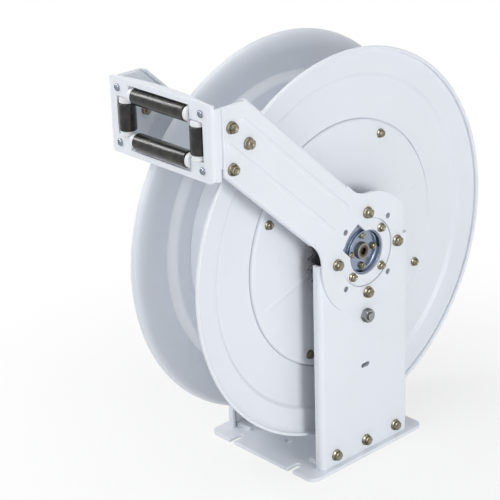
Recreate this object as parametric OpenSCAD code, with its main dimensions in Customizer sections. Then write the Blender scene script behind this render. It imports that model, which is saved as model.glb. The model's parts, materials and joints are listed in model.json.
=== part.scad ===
// Spring-rewind fire hose reel on two pedestals, with a four-roller guide head.
// The axle lies along Y. The near side is -Y, the guide head points to -X, and the
// origin is the centre of the base plate's underside. Side 0 is near, side 1 is far.
// Along the axle, a height is the distance outwards from the spool's middle plane.

/* [Base] */
// Length of the base plate along X
base_x = 248; // [220:1:300]
// Width of the base plate along Y
base_y = 230; // [226:1:280]
// Thickness of the base plate
base_t = 6; // [4:0.5:8]
// Corner radius of the base plate
base_corner_r = 14; // [4:1:20]
// Width of the open-ended floor slots
floor_slot_w = 11; // [9:0.5:14]
// Length of the floor slots, from the plate's edge to the round end
floor_slot_l = 24; // [16:1:30]
// Distance between the two slots of one edge
floor_slot_gap = 130; // [90:1:150]
// Diameter of the two round floor holes
floor_hole_d = 11; // [8:0.5:14]
// Distance between the two round floor holes
floor_hole_gap = 124; // [100:1:140]

/* [Pedestals] */
// Height of the axle above the floor
axle_z = 339; // [335:1:380]
// Width of each pedestal along X
ped_w = 190; // [170:1:200]
// Sheet thickness of the pedestals
ped_t = 5; // [4:0.5:6]
// Depth of the pedestals' bent edges, from the outer face
ped_flange = 15; // [10:1:18]
// Outer bend radius of the pedestals' edges
ped_bend_r = 8; // [6:0.5:9]
// Radius of the pedestals' narrow round top
ped_top_r = 74; // [72:0.5:75]
// Thickness of the welded foot angles
foot_t = 5; // [4:0.5:6]
// Height of the foot angles above the floor
foot_h = 48; // [40:1:60]
// Depth of the foot angles' flat leg
foot_leg = 36; // [25:1:50]
// Length of the foot angles
foot_l = 166; // [150:1:168]
// Height of the foot bolts above the floor
foot_bolt_z = 24; // [20:1:30]
// Distance between neighbouring foot bolts
foot_bolt_gap = 66; // [50:1:70]
// Length of the small slot below the hub
ped_slot_l = 18; // [12:1:24]
// Width of that slot
ped_slot_w = 7; // [4:0.5:9]
// Distance of that slot below the axle
ped_slot_drop = 186; // [150:1:220]

/* [Hub area] */
// Radius of the bearing cup's opening in the pedestals
cup_hole_r = 34.5; // [34:0.1:38]
// Width of the notch beside that opening
notch_w = 46; // [30:1:50]
// Distance from the axle to the notch's outer edge
notch_reach = 50; // [46:0.5:51]
// Radius of the bearing plate
plate_r = 52; // [52:0.5:54]
// Thickness of the bearing plate
plate_t = 2.5; // [2:0.5:4]
// Radius of the small bolts' circle on the bearing plate
plate_bolt_r = 43; // [42:0.5:44]
// Radius of the arm bolts' circle round the hub
hub_bolt_r = 63.5; // [62:0.5:66]
// Depth of the bearing cup behind the pedestal's inner face
cup_depth = 5.5; // [5:0.5:6]
// Wall of the bearing cup
cup_t = 2.5; // [2:0.5:3]
// Circle radius of the screws in the bearing cup
cup_screw_r = 24; // [22:0.5:24]

/* [Guide arms] */
// Angle of the guide arms above the -X direction
arm_angle = 43; // [40:1:46]
// Sheet thickness of the guide arms
arm_t = 4; // [3:0.5:5]
// Width of the guide arms
arm_w = 102; // [96:1:104]
// How far the arms' middle lies above the hub's own radial line
arm_rise = 6.5; // [0:0.5:8]
// Radius of the arms' round hub end
arm_hub_r = 93.5; // [92:0.5:97]
// Distance from the axle to the hub end's two straight cuts
arm_hub_cut = 78; // [75:0.5:90]
// Radius of the hollow corners between hub end and arm
arm_fillet_r = 50; // [20:1:60]
// Depth of the arms' bent edges
arm_flange = 12; // [8:1:14]
// Outer bend radius of the arms' edges
arm_bend_r = 6; // [5:0.5:7]
// Width of the two raised beads along each arm
bead_w = 10; // [6:1:14]
// Height of the raised beads
bead_h = 1.6; // [1:0.1:2]
// Distance between the two beads
bead_gap = 39.5; // [34:0.5:44]
// How far the beads' middle lies above the hub's radial line
bead_rise = 11.5; // [8:0.5:14]
// Distance from the axle to the beads' inner ends
bead_start = 88; // [86:1:110]

/* [Guide head] */
// Distance from the axle to the head's front face along X
head_reach = 292; // [289:1:300]
// Height of the head's centre above the axle
head_z = 242; // [236:1:246]
// Height of the head's front plate
head_h = 112; // [110:1:118]
// Sheet thickness of the head
head_t = 4; // [3:0.5:5]
// Outer bend radius of the head's side flanges
head_bend_r = 7; // [6:0.5:9]
// Depth of the head's bent top and bottom lips
head_lip = 11; // [8:1:13]
// Diameter of the four rollers
roller_d = 25; // [22:0.5:26]
// Length of the two long rollers
long_roller_l = 108; // [100:1:112]
// Length of the two short rollers
short_roller_l = 40; // [36:1:42]
// Distance from the head's centre to the long rollers' axes
long_roller_z = 33; // [32:0.5:34]
// Distance from the head's centre to the short rollers' axes
short_roller_y = 74; // [72:0.5:76]
// Distance of the roller axes behind the front face
roller_in = 6; // [5:0.5:9]
// Diameter of the roller pins
pin_d = 8; // [6:0.5:10]
// Free edge between the rollers and the window's edge
window_gap = 1.8; // [1:0.1:2]
// Length of the corner blocks' round bosses
boss_l = 7; // [5:0.5:9]

/* [Spool] */
// Diameter of the spool discs
disc_d = 600; // [590:1:610]
// Width over the lips of both discs
spool_w = 146; // [142:1:150]
// Sheet thickness of the discs and the drum
disc_t = 2.5; // [2:0.1:3]
// Depth of the discs' turned lips
lip_depth = 8; // [6:0.5:9]
// Radial width of the turned lips
lip_w = 13; // [10:1:18]
// Radius of the rolled bead on the discs' edges
bead_r = 2.8; // [2.5:0.1:3.5]
// Radius of the step in the near disc
near_step_r = 257; // [250:1:262]
// Height of the step in the near disc
near_step_h = 4.5; // [3:0.5:6]
// Radius of the far disc's dish at its open end
far_dish_r = 240; // [235:1:246]
// Depth of the far disc's dish
far_dish_h = 12.5; // [8:0.5:14]
// Radial width of the far dish's slope
far_dish_w = 14; // [10:1:18]
// Outer radius of the drum
drum_r = 205; // [200:1:210]
// Radius of the spring cover
cover_r = 190.5; // [186:0.5:192]
// Height of the spring cover above the near disc
cover_h = 4.5; // [3.5:0.5:6]
// Sheet thickness of the spring cover
cover_t = 2.5; // [2:0.1:3]
// Radius of the cover bolts' circle
cover_bolt_r = 173; // [168:0.5:176]
// Angle of the first cover bolt
cover_bolt_a = 63.5; // [50:0.5:75]
// Inner radius of the drum's near flange
drum_flange_r = 158; // [150:1:160]

/* [Axle] */
// Diameter of the fixed axle
axle_d = 36; // [34:0.5:38]
// Wall of the two bushes
bush_wall = 4; // [3:0.5:5]
// Running clearance between the axle and what turns on it
run_gap = 0.05; // [0.02:0.01:0.08]
// Diameter of the axle's water bore
water_d = 16; // [12:0.5:18]
// Radius of the spring arbor
arbor_r = 29; // [27:0.5:32]
// Width of the power spring
spring_w = 48; // [40:1:50]
// Thickness of the power spring's strip
strip_t = 1.4; // [0.8:0.1:2]
// Turns of the power spring
spring_turns = 8; // [5:1:9]
// Bore radius of the inlet and outlet threads
thread_r = 12.1; // [11:0.1:12.5]
// Depth of the inlet and outlet threads
thread_l = 18; // [14:1:22]

/* [Ratchet] */
// Number of ratchet teeth that would fill the whole rim
tooth_count = 36; // [24:12:36]
// Share of the rim that carries teeth, in two groups
tooth_share = 0.6; // [0.5:0.05:0.7]
// Radius over the ratchet's teeth
tooth_tip_r = 97.5; // [96:0.5:98]
// Radius between the ratchet's teeth
tooth_root_r = 87.5; // [86:0.5:88.5]
// Radius of the two waists between the groups of teeth
waist_r = 74; // [68:1:76]
// Thickness of the ratchet wheel
tooth_t = 6; // [5:0.5:7]
// Distance from the axle down to the pawl's pivot
pivot_drop = 102; // [102:0.5:104]
// Swing of the pawl from its tooth gap to clear of the teeth
pawl_swing = 11; // [10.5:0.5:12]
// Thickness of the pawl's plate
pawl_t = 4.8; // [4:0.1:5]
// Length of the pawl's spring between its two pins
pawl_spring_l = 46; // [40:1:56]
// Turns of the pawl's spring
pawl_spring_turns = 12; // [8:1:13]

/* [Hidden] */
$fn = 96;

// Fits and gaps
fit_gap = 0.02;
seat_gap = 0.3;
m8_hole_r = 4.5;
m6_hole_r = 3.3;

// Flange bolts as [shank radius, flange radius, key width, head height]
M8 = [4, 8.9, 13, 8];
M6 = [3, 7.1, 10, 6];
nut_share = 0.8;

// Heights along the axle, outwards from the middle plane
rim_z = spool_w / 2;
band_z = rim_z - lip_depth;
web_z = band_z - near_step_h;
drum_near_z = web_z - disc_t;
cover_z = web_z + cover_h;
dish_z = band_z - far_dish_h;
drum_far_z = dish_z - disc_t;
side_gap = 29;
ped_in = rim_z + side_gap;
ped_out = ped_in + ped_t;
arm_out = ped_out + arm_t;
plate_out = ped_out + plate_t;
cup_back = ped_in - cup_depth;
cup_front = cup_back + cup_t;
collar_t = 6.5;
collar_in = cup_back - collar_t;
washer_t = 1.4;
washer_z = collar_in - washer_t;
bush_out = washer_z - seat_gap;
wheel_front = ped_in - max(13.5, ped_flange - ped_t + 1.5);
wheel_back = wheel_front - tooth_t;

// Radii on the axle
shaft_r = axle_d / 2;
bush_r = shaft_r + run_gap + bush_wall;
hub_bore_r = bush_r + fit_gap;
collar_r = 29;
hub_flange_r = 66;
hub_flange_t = 5;
hub_body_r = 45;
hub_spigot_r = 25.9;
hub_pilot_r = 41;
far_boss_r = 34;
spool_bolt_r = 56;
ratchet_screw_r = 37.6;
stub_r = 12.5;
inlet_stub_r = 13;
stub_end = cup_front + 5;
inlet_end = ped_out + 24;
arm_hole_r = plate_r + 1;
washer_r = bush_r + 3;
far_pilot_r = 30;
collar_pin_r = 1.5;
collar_pin_z = collar_in + collar_t / 2;

// Water way: port in the axle, swivel manifold round it, pipe and fitting in the drum
water_port_z = 28;
port_r = 6;
manifold_r = 33;
manifold_half = 15;
groove_half = 8;
seal_t = 3;
seal_z = groove_half + 3.5;
outlet_angle = 0;
outlet_r = thread_r + 2.9;
pipe_start = manifold_r + 5;
pipe_end = drum_r - 6;
elbow_r = thread_r + 6;
elbow_z = inlet_end + elbow_r;
elbow_drop = 52;

// Drum inside: divider between water side and spring side, arbor for the power spring
divider_t = 2;
divider_z = -water_port_z + manifold_half + 3;
arbor_in = divider_z + divider_t + 1;
arbor_out = drum_near_z - disc_t - 2;

// Disc outlines
disc_r = disc_d / 2;
step_half = 4;
hole_gap = 1.5;

// Guide arms, in the frame that runs out along the arm
arm_dir = 180 - arm_angle;
arm_top_v = arm_rise + arm_w / 2;
arm_low_v = arm_rise - arm_w / 2;
arm_end_x = head_reach - 17;
arm_top_y = head_z + 49;
arm_cut = 450;
arm_bend_u = 1 + max(
    corner_u(arm_hub_r, arm_top_v, arm_fillet_r), corner_u(arm_hub_r, -arm_low_v, arm_fillet_r));

// Guide head
head_back = head_reach - head_t;
head_half_y = ped_out - fit_gap;
roller_x = head_reach - roller_in;
roller_r = roller_d / 2;
pin_r = pin_d / 2;
window_long_y = long_roller_l / 2 + boss_l + 1.5;
window_long_z = long_roller_z + roller_r + window_gap;
window_cross_y = short_roller_y + roller_r + window_gap;
window_cross_z = short_roller_l / 2 + boss_l + 1;
rivet_y = 86;
rivet_z = 40;
block_in = head_back - fit_gap;
block_t = 9;
block_y1 = head_half_y - head_t - 3;
block_z1 = head_h / 2 - head_t - 1;

// Arm bolts as [X from the axle, height above the axle]
arm_bolt_gap = 30;
arm_bolt_x = 261;
ARM_BOLTS = [
    [-arm_bolt_x, head_z + 19],
    [-arm_bolt_x + arm_bolt_gap, head_z - 11],
    [-arm_bolt_x, head_z - 40]
];

// Ratchet and pawl, seen from the near side in the axle's own frame
tooth_pitch = 360 / tooth_count;
tooth_phase = 3.2;
root_share = 0.72;
group_teeth = round(tooth_share * tooth_count / 2);
first_tooth = -round(70 / tooth_pitch);
wing_start = tooth_phase + (first_tooth - 1 + root_share) * tooth_pitch;
wing_end = wing_start + group_teeth * tooth_pitch;
gap_root_a = wing_start + 2 * tooth_pitch;
waist_corner_r = 8;
pivot = [0, -pivot_drop];
pivot_r = 8;
pawl_back = wheel_front + 3.1;
pawl_front = pawl_back + pawl_t;
nose_tip_r = tooth_root_r + 5.5;
nose_back_r = tooth_tip_r + 9;
lever_root_r = 13;
lever_end_r = 9;
spring_arm = 44;
hook_pin_r = 2;
hook_r = 3.2;
wire_r = 0.6;
coil_r = 3.6;
coil_z = pawl_back - coil_r - wire_r - 0.6;

function polar(r, a) = r * [cos(a), sin(a)];
function turned(p, a) = [p[0] * cos(a) - p[1] * sin(a), p[0] * sin(a) + p[1] * cos(a)];
function about(p, c, a) = c + turned(p - c, a);
function arc(c, r, a0, a1, n = 8) = [for (i = [0:n]) c + polar(r, a0 + (a1 - a0) * i / n)];
function reversed(list) = [for (i = [len(list) - 1:-1:0]) list[i]];

// Smooth step from [r0, z0] to [r1, z1]
function ease(r0, z0, r1, z1, n = 6) =
    [for (i = [0:n]) [r0 + (r1 - r0) * i / n, z0 + (z1 - z0) * (1 - cos(180 * i / n)) / 2]];

// The skin's direction at point i, and the same skin one sheet thickness t further in
function along(skin, i) = skin[min(i + 1, len(skin) - 1)] - skin[max(i - 1, 0)];
function inner_skin(skin, t) = [
    for (i = [0:len(skin) - 1])
        let (d = along(skin, i)) skin[i] - t / norm(d) * [-d[1], d[0]]
];

// Section of a disc: its outer skin, the rolled bead round its edge, its inner skin
bead_at = [disc_r - bead_r, rim_z - bead_r];
bead_a = asin(disc_t / 2 / bead_r);
lip_end = bead_at + polar(bead_r, 270 - bead_a);

function disc_section(skin) = let (
    lip = [for (i = [0:6]) [
        disc_r - lip_w + (lip_end[0] - disc_r + lip_w) * sin(15 * i),
        band_z + (lip_end[1] - band_z) * (1 - cos(15 * i))
    ]],
    whole = concat(skin, lip)
) concat(
    whole,
    arc(bead_at, bead_r, 270 - bead_a - 20, bead_a - 70, 12),
    reversed(inner_skin(whole, disc_t))
);

// Places children on the axle of one side, with +Z outwards and +Y upwards
module on_axle(side) {
    translate([0, 0, axle_z])
        mirror([0, side, 0])
            rotate([90, 0, 0]) children();
}

module both_sides() {
    for (side = [0, 1]) on_axle(side) children();
}

module ring(r_out, r_in, z0, z1) {
    translate([0, 0, z0])
        difference() {
            cylinder(r = r_out, h = z1 - z0);
            translate([0, 0, -1]) cylinder(r = r_in, h = z1 - z0 + 2);
        }
}

module rod(r, z0, z1) {
    translate([0, 0, z0]) cylinder(r = r, h = z1 - z0);
}

module hex(key, z0, z1) {
    translate([0, 0, z0]) cylinder(r = key / 2 / cos(30), h = z1 - z0, $fn = 6);
}

// Flange bolt with its head on z = 0 and its shank reaching down
module flange_bolt(m, shank) {
    rod(m[0], -shank, 0.5);
    rod(m[1], 0, m[3] * 0.2);
    translate([0, 0, m[3] * 0.2])
        cylinder(r1 = m[1], r2 = m[2] * 0.5, h = m[3] * 0.15);
    intersection() {
        hex(m[2], 0, m[3]);
        cylinder(r1 = m[2] * 0.5 + m[3], r2 = m[2] * 0.5, h = m[3]);
    }
}

// Flange nut that fits under z = 0
module flange_nut(m) {
    h = m[3] * nut_share;
    difference() {
        union() {
            rod(m[1], -h * 0.25, 0);
            hex(m[2], -h, 0);
        }
        rod(m[0] + fit_gap, -h - 1, 1);
    }
}

// Plain nut that fits under z = 0
module hex_nut(m) {
    difference() {
        hex(m[2], -m[3] * nut_share, 0);
        rod(m[0] + fit_gap, -m[3], 1);
    }
}

module slot2d(l, w) {
    square([l - w, w], center = true);
    for (s = [-1, 1]) translate([s * (l - w) / 2, 0]) circle(d = w);
}

module rounded2d(w, h, r) {
    square([w - 2 * r, h], center = true);
    square([w, h - 2 * r], center = true);
    for (sx = [-1, 1], sy = [-1, 1])
        translate([sx * (w / 2 - r), sy * (h / 2 - r)]) circle(r = r);
}

// Two discs joined by their outer tangents
module link2d(p1, r1, p2, r2) {
    d = norm(p2 - p1);
    a = atan2(p2[1] - p1[1], p2[0] - p1[0]);
    b = acos((r1 - r2) / d);
    translate(p1) circle(r = r1);
    translate(p2) circle(r = r2);
    polygon([p1 + polar(r1, a + b), p2 + polar(r2, a + b),
             p2 + polar(r2, a - b), p1 + polar(r1, a - b)]);
}

// Section of a channel sheet: open side down, outer face at z1, bent edges down to z0
module channel2d(w, z0, z1, t, r) {
    x = w / 2;
    polygon(concat(
        [[-x, z0]],
        arc([-x + r, z1 - r], r, 180, 90),
        arc([x - r, z1 - r], r, 90, 0),
        [[x, z0], [x - t, z0]],
        arc([x - r, z1 - r], r - t, 0, 90),
        arc([-x + r, z1 - r], r - t, 90, 180),
        [[-x + t, z0]]
    ));
}

// ---- base ----

module floor_slots2d() {
    for (sx = [-1, 1], sy = [-1, 1])
        translate([sx * base_x / 2, sy * floor_slot_gap / 2])
            slot2d(2 * floor_slot_l, floor_slot_w);
}

module base_plate() {
    color("gainsboro")
        linear_extrude(base_t)
            difference() {
                rounded2d(base_x, base_y, base_corner_r);
                floor_slots2d();
                for (s = [-1, 1]) translate([s * floor_hole_gap / 2, 0]) circle(d = floor_hole_d);
            }
}

module foot_angle(side) {
    color("gainsboro")
        mirror([0, side, 0])
            difference() {
                rotate([90, 0, 90])
                    translate([0, 0, -foot_l / 2])
                        linear_extrude(foot_l)
                            polygon([
                                [-ped_in, base_t], [-ped_in, foot_h], [-ped_in + foot_t, foot_h],
                                [-ped_in + foot_t, base_t + foot_t],
                                [-ped_in + foot_leg, base_t + foot_t], [-ped_in + foot_leg, base_t]
                            ]);
                foot_bolt_places() rod(m8_hole_r, ped_in - foot_t - 1, ped_in + 1);
            }
}

module near_foot_angle() { foot_angle(0); }

module far_foot_angle() { foot_angle(1); }

// The three foot bolts of the near side, with +Z outwards
module foot_bolt_places() {
    for (i = [-1:1])
        translate([i * foot_bolt_gap, 0, foot_bolt_z]) rotate([90, 0, 0]) children();
}

module foot_bolts() {
    color("darkkhaki")
        for (side = [0, 1])
            mirror([0, side, 0])
                foot_bolt_places()
                    translate([0, 0, ped_out])
                        flange_bolt(M8, ped_t + foot_t + M8[3] * nut_share + 2);
}

module foot_nuts() {
    color("darkkhaki")
        for (side = [0, 1])
            mirror([0, side, 0])
                foot_bolt_places()
                    translate([0, 0, ped_in - foot_t]) flange_nut(M8);
}

// ---- pedestals ----

module notch2d(reach) {
    rotate(135) translate([0, -notch_w / 2]) square([reach, notch_w]);
}

module cup_opening2d(reach) {
    circle(r = cup_hole_r);
    notch2d(reach);
}

// Places at 45 degree steps on a circle, every step-th one from first
module on_circle(r, first, step, last = 7) {
    for (i = [first:step:last]) rotate(i * 45) translate([r, 0, 0]) children();
}

// Flat outline of a pedestal in the axle's frame: narrow round top, wide body
module pedestal2d() {
    circle(r = ped_top_r);
    translate([-ped_top_r, -ped_top_r]) square([2 * ped_top_r, ped_top_r]);
}

module pedestal(side) {
    shoulder = 4;
    below = axle_z - base_t;
    color("whitesmoke")
        on_axle(side)
            difference() {
                union() {
                    translate([0, 0, ped_in]) linear_extrude(ped_t) pedestal2d();
                    translate([0, shoulder, 0])
                        rotate([90, 0, 0])
                            linear_extrude(shoulder + below)
                                channel2d(ped_w, ped_out - ped_flange, ped_out, ped_t, ped_bend_r);
                }
                translate([0, 0, ped_in - 1]) linear_extrude(ped_t + 2) cup_opening2d(notch_reach);
                on_circle(plate_bolt_r, -3, 2, 1) rod(m6_hole_r, ped_in - 1, ped_out + 1);
                on_circle(hub_bolt_r, 0, 1) rod(m8_hole_r, ped_in - 1, ped_out + 1);
                translate([0, -ped_slot_drop, ped_in - 1])
                    linear_extrude(ped_t + 2) slot2d(ped_slot_l, ped_slot_w);
                if (side == 0) translate(pivot) rod(pivot_r - 2 + 0.3, ped_in - 1, ped_out + 1);
                for (i = [-1:1])
                    translate([i * foot_bolt_gap, foot_bolt_z - axle_z, 0])
                        rod(m8_hole_r, ped_in - 1, ped_out + 1);
            }
}

module near_pedestal() { pedestal(0); }

module far_pedestal() { pedestal(1); }

// ---- bearing plates and cups ----

module bearing_plate(side) {
    color("whitesmoke")
        on_axle(side)
            translate([0, 0, ped_out])
                linear_extrude(plate_t)
                    difference() {
                        circle(r = plate_r);
                        cup_opening2d(plate_r + 1);
                        on_circle(plate_bolt_r, -3, 2, 1) circle(r = m6_hole_r);
                    }
}

module near_bearing_plate() { bearing_plate(0); }

module far_bearing_plate() { bearing_plate(1); }

module bearing_cup(side, hole_r) {
    wall_r = cup_hole_r - seat_gap;
    color("lightsteelblue")
        on_axle(side)
            difference() {
                rotate_extrude()
                    polygon([
                        [hole_r, cup_back], [wall_r, cup_back], [wall_r, ped_in - cup_t],
                        [plate_r, ped_in - cup_t], [plate_r, ped_in], [wall_r, ped_in],
                        [wall_r, ped_out - 0.5], [wall_r - cup_t, ped_out - 0.5],
                        [wall_r - cup_t, cup_front + 1.5], [wall_r - cup_t - 1.5, cup_front],
                        [hole_r, cup_front]
                    ]);
                on_circle(plate_bolt_r, -3, 2, 1) rod(m6_hole_r, ped_in - cup_t - 1, ped_in + 1);
                on_circle(cup_screw_r, 0, 2) rod(m6_hole_r, cup_back - 1, cup_front + 1);
            }
}

module near_bearing_cup() { bearing_cup(0, stub_r + 0.2); }

module far_bearing_cup() { bearing_cup(1, inlet_stub_r + 0.2); }

// Bolts through bearing plate, pedestal and cup flange, each with its nut
module bearing_plate_bolts() {
    color("darkkhaki")
        both_sides()
            on_circle(plate_bolt_r, -3, 2, 1) {
                translate([0, 0, plate_out]) flange_bolt(M6, plate_t + ped_t + cup_t + 2);
                translate([0, 0, ped_in - cup_t]) hex(M6[2], -3, 0);
            }
}

module bearing_cup_screws() {
    color("darkkhaki")
        both_sides()
            on_circle(cup_screw_r, 0, 2)
                translate([0, 0, cup_front])
                    flange_bolt([M6[0], M6[2] / 2, M6[2] - 1.2, 4.6], cup_t + collar_t - 1);
}

// ---- guide arms ----

// Frame of an arm: X runs outwards along the arm, Y is its upper side
module along_arm() {
    rotate(arm_dir) mirror([0, 1]) children();
}

// Heights above the axle and places along X on the line at height v of the arm's frame
function arm_line_z(v, x) = (v - x * sin(arm_angle)) / cos(arm_angle);
function arm_line_x(v, z) = (v - z * cos(arm_angle)) / sin(arm_angle);

// Where the hollow corner of radius r between a round hub and a straight edge at
// height v along X leaves that edge
function corner_u(hub, v, r) = sqrt(pow(hub + r, 2) - pow(v + r, 2));

// That corner, above the edge or below it, cut a hair into both of its sides so that
// it meets neither in a bare touch
module corner2d(hub, v, r, above = true) {
    cu = corner_u(hub, v, r);
    foot_u = hub / 2;
    mirror([0, above ? 0 : 1])
        difference() {
            polygon([[foot_u, -1], [foot_u, (v + r) * foot_u / cu], [cu, v + r], [cu, v - 1]]);
            translate([cu, v + r]) circle(r = r + 0.06);
        }
}

// Everything of the arm that lies on the axle's side of the head
module arm_limit2d() {
    translate([-arm_end_x, -arm_cut]) square([2 * arm_cut, arm_cut + arm_top_y]);
}

module arm_hub2d() {
    intersection() {
        circle(r = arm_hub_r);
        translate([-arm_cut, -arm_hub_cut]) square([arm_cut + arm_hub_cut, 2 * arm_cut]);
    }
}

// Flat end of the arm: hub end, hollow corners, and the strip up to its bent edges
module arm_plate2d() {
    arm_hub2d();
    along_arm() {
        translate([0, arm_low_v]) square([arm_bend_u, arm_w]);
        corner2d(arm_hub_r, arm_top_v, arm_fillet_r);
        corner2d(arm_hub_r, -arm_low_v, arm_fillet_r, above = false);
    }
}

// Places children in the arm's own frame, in space
module on_arm() {
    rotate(arm_dir) mirror([0, 1, 0]) children();
}

// The arm's channel section, from the hollow corners to the head
module arm_channel() {
    intersection() {
        on_arm()
            translate([arm_bend_u, arm_rise, 0])
                rotate([90, 0, 90])
                    linear_extrude(arm_cut - arm_bend_u)
                        channel2d(arm_w, arm_out - arm_flange, arm_out, arm_t, arm_bend_r);
        linear_extrude(arm_out + 1) arm_limit2d();
    }
}

// The arm's sheet with its holes; the flat end stands a hair lower than the channel, so
// that the beads cross a true step and no seam of two level faces
module arm_sheet() {
    difference() {
        union() {
            translate([0, 0, ped_out]) linear_extrude(arm_t - 0.02) arm_plate2d();
            arm_channel();
        }
        translate([0, 0, ped_out - 1])
            linear_extrude(arm_t + 2) {
                circle(r = arm_hole_r);
                notch2d(notch_reach);
            }
        on_circle(hub_bolt_r, 0, 1) rod(m8_hole_r, ped_out - 1, arm_out + 1);
        for (p = ARM_BOLTS) translate(p) rod(m8_hole_r, ped_out - 1, arm_out + 1);
    }
}

// A raised bead with a rounded crown and start, along the arm at height v
module arm_bead(v) {
    r = (pow(bead_w / 2, 2) + pow(bead_h, 2)) / (2 * bead_h);
    end = arm_end_x / cos(arm_angle) - 20;
    intersection() {
        on_arm()
            translate([bead_start, v, arm_out + bead_h - r]) {
                rotate([0, 90, 0]) rod(r, 0, end - bead_start);
                sphere(r = r);
                translate([end - bead_start, 0, 0]) sphere(r = r);
            }
        translate([0, 0, arm_out - 0.5]) linear_extrude(bead_h + 1) arm_limit2d();
    }
}

module guide_arm(side) {
    color("whitesmoke")
        on_axle(side) {
            arm_sheet();
            for (s = [-1, 1]) arm_bead(bead_rise + s * bead_gap / 2);
        }
}

module near_guide_arm() { guide_arm(0); }

module far_guide_arm() { guide_arm(1); }

module hub_bolts() {
    color("darkkhaki")
        both_sides()
            on_circle(hub_bolt_r, 0, 2)
                translate([0, 0, arm_out]) flange_bolt(M8, arm_t + ped_t + M8[3] * nut_share + 0.5);
}

module hub_nuts() {
    color("darkkhaki")
        both_sides()
            on_circle(hub_bolt_r, 0, 2) translate([0, 0, ped_in]) flange_nut(M8);
}

module arm_bolts() {
    color("darkkhaki")
        both_sides()
            for (p = ARM_BOLTS)
                translate([p[0], p[1], arm_out])
                    flange_bolt(M8, arm_t + head_t + M8[3] * nut_share + 2);
}

module arm_nuts() {
    color("darkkhaki")
        both_sides()
            for (p = ARM_BOLTS)
                translate([p[0], p[1], head_half_y - head_t]) hex_nut(M8);
}

// ---- guide head ----

// The head's own frame: origin on its centre line at the axle's X, +Z upwards
module at_head() {
    translate([0, 0, axle_z + head_z]) children();
}

// Side flange outline: a nose in front of the arm, then inside the arm's edges
module head_flange2d() {
    low = arm_low_v + arm_bend_r + 0.3;
    foot = -head_h / 2 + 2;
    nose_x = -arm_end_x - 2;
    polygon([
        [-head_reach + head_bend_r, foot],
        [nose_x, foot],
        [nose_x, arm_line_z(low, nose_x) - head_z],
        [arm_line_x(low, head_z + foot), foot],
        [-arm_bolt_x + arm_bolt_gap, foot],
        [-arm_bolt_x + arm_bolt_gap + 16, -head_h / 4],
        [-arm_bolt_x + arm_bolt_gap + 16, 2],
        [-arm_bolt_x + 20, head_h / 2 - 8],
        [-head_reach + head_bend_r, head_h / 2 - 8]
    ]);
}

module head_window2d() {
    square([2 * window_long_y, 2 * window_long_z], center = true);
    square([2 * window_cross_y, 2 * window_cross_z], center = true);
}

// Front plate bent round into both side flanges, seen from above
module head_wrap2d() {
    y = head_half_y;
    r = head_bend_r;
    end = head_reach - head_bend_r;
    polygon(concat(
        arc([-end, -y + r], r, 270, 180),
        arc([-end, y - r], r, 180, 90),
        arc([-end, y - r], r - head_t, 90, 180),
        arc([-end, -y + r], r - head_t, 180, 270)
    ));
}

// Bent lip with a bow-shaped outline, on the side s (1 above, -1 below)
module head_bow(s) {
    half = head_half_y - head_bend_r - 8;
    top = head_h / 2;
    translate([0, 0, s > 0 ? top - 3 : -top])
        linear_extrude(3)
            polygon(concat(
                [[-head_back - 1, -half]],
                [for (i = [-12:12])
                    [-head_back + head_lip * (1 - pow(i / 12, 2)), half * i / 12]],
                [[-head_back - 1, half]]
            ));
}

module guide_head() {
    color("white")
        at_head()
            difference() {
                union() {
                    intersection() {
                        translate([0, 0, -head_h / 2]) linear_extrude(head_h) head_wrap2d();
                        rotate([90, 0, 90])
                            translate([0, 0, -head_reach - 1])
                                linear_extrude(head_bend_r + 2)
                                    rounded2d(2 * head_half_y, head_h, 10);
                    }
                    for (side = [0, 1])
                        mirror([0, side, 0])
                            translate([0, -head_half_y + head_t, 0])
                                rotate([90, 0, 0])
                                    linear_extrude(head_t) head_flange2d();
                    for (s = [-1, 1]) head_bow(s);
                }
                rotate([90, 0, 90])
                    translate([0, 0, -head_reach - 1])
                        linear_extrude(head_t + 1.5) head_window2d();
                rivet_places() rod(2.6, head_back - 1, head_reach + 1);
                translate([0, 0, -axle_z - head_z])
                    both_sides()
                        for (p = ARM_BOLTS)
                            translate(p) rod(m8_hole_r, head_half_y - head_t - 1, head_half_y + 1);
            }
}

// The four rivets, with +Z pointing out of the front plate
module rivet_places() {
    for (sy = [-1, 1], sz = [-1, 1])
        translate([0, sy * rivet_y, sz * rivet_z]) rotate([0, -90, 0]) children();
}

// One corner block behind the front plate, carrying the ends of two roller pins
module corner_block() {
    boss_r = roller_r - 1.5;
    long_boss = long_roller_l / 2 + seat_gap;
    short_boss = short_roller_l / 2 + seat_gap;
    difference() {
        union() {
            translate([-block_in, long_boss + boss_l - 2, short_boss + boss_l - 2])
                cube([block_t, block_y1 - long_boss - boss_l + 2,
                      block_z1 - short_boss - boss_l + 2]);
            translate([-roller_x, long_boss, long_roller_z])
                rotate([-90, 0, 0]) cylinder(r = boss_r, h = boss_l);
            translate([-roller_x, short_roller_y, short_boss]) cylinder(r = boss_r, h = boss_l);
        }
        rivet_places() rod(2.6, head_back - block_t - 1, head_reach);
        roller_pin_long(pin_r + fit_gap, 1);
        roller_pin_short(pin_r + fit_gap, 1);
    }
}

module corner_blocks() {
    color("white")
        at_head()
            for (sy = [0, 1], sz = [0, 1])
                mirror([0, sy, 0]) mirror([0, 0, sz]) corner_block();
}

module head_rivets() {
    dome_r = 5.4;
    dome_h = 3.4;
    ball_r = (dome_r * dome_r + dome_h * dome_h) / (2 * dome_h);
    color("silver")
        at_head()
            rivet_places() {
                rod(2.5, head_back - block_t - 1.5, head_reach + 0.5);
                rod(4, head_back - block_t - 1.5, head_back - block_t - 0.1);
                intersection() {
                    translate([0, 0, head_reach + dome_h - ball_r]) sphere(r = ball_r);
                    rod(dome_r, head_reach, head_reach + dome_h);
                }
            }
}

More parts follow.
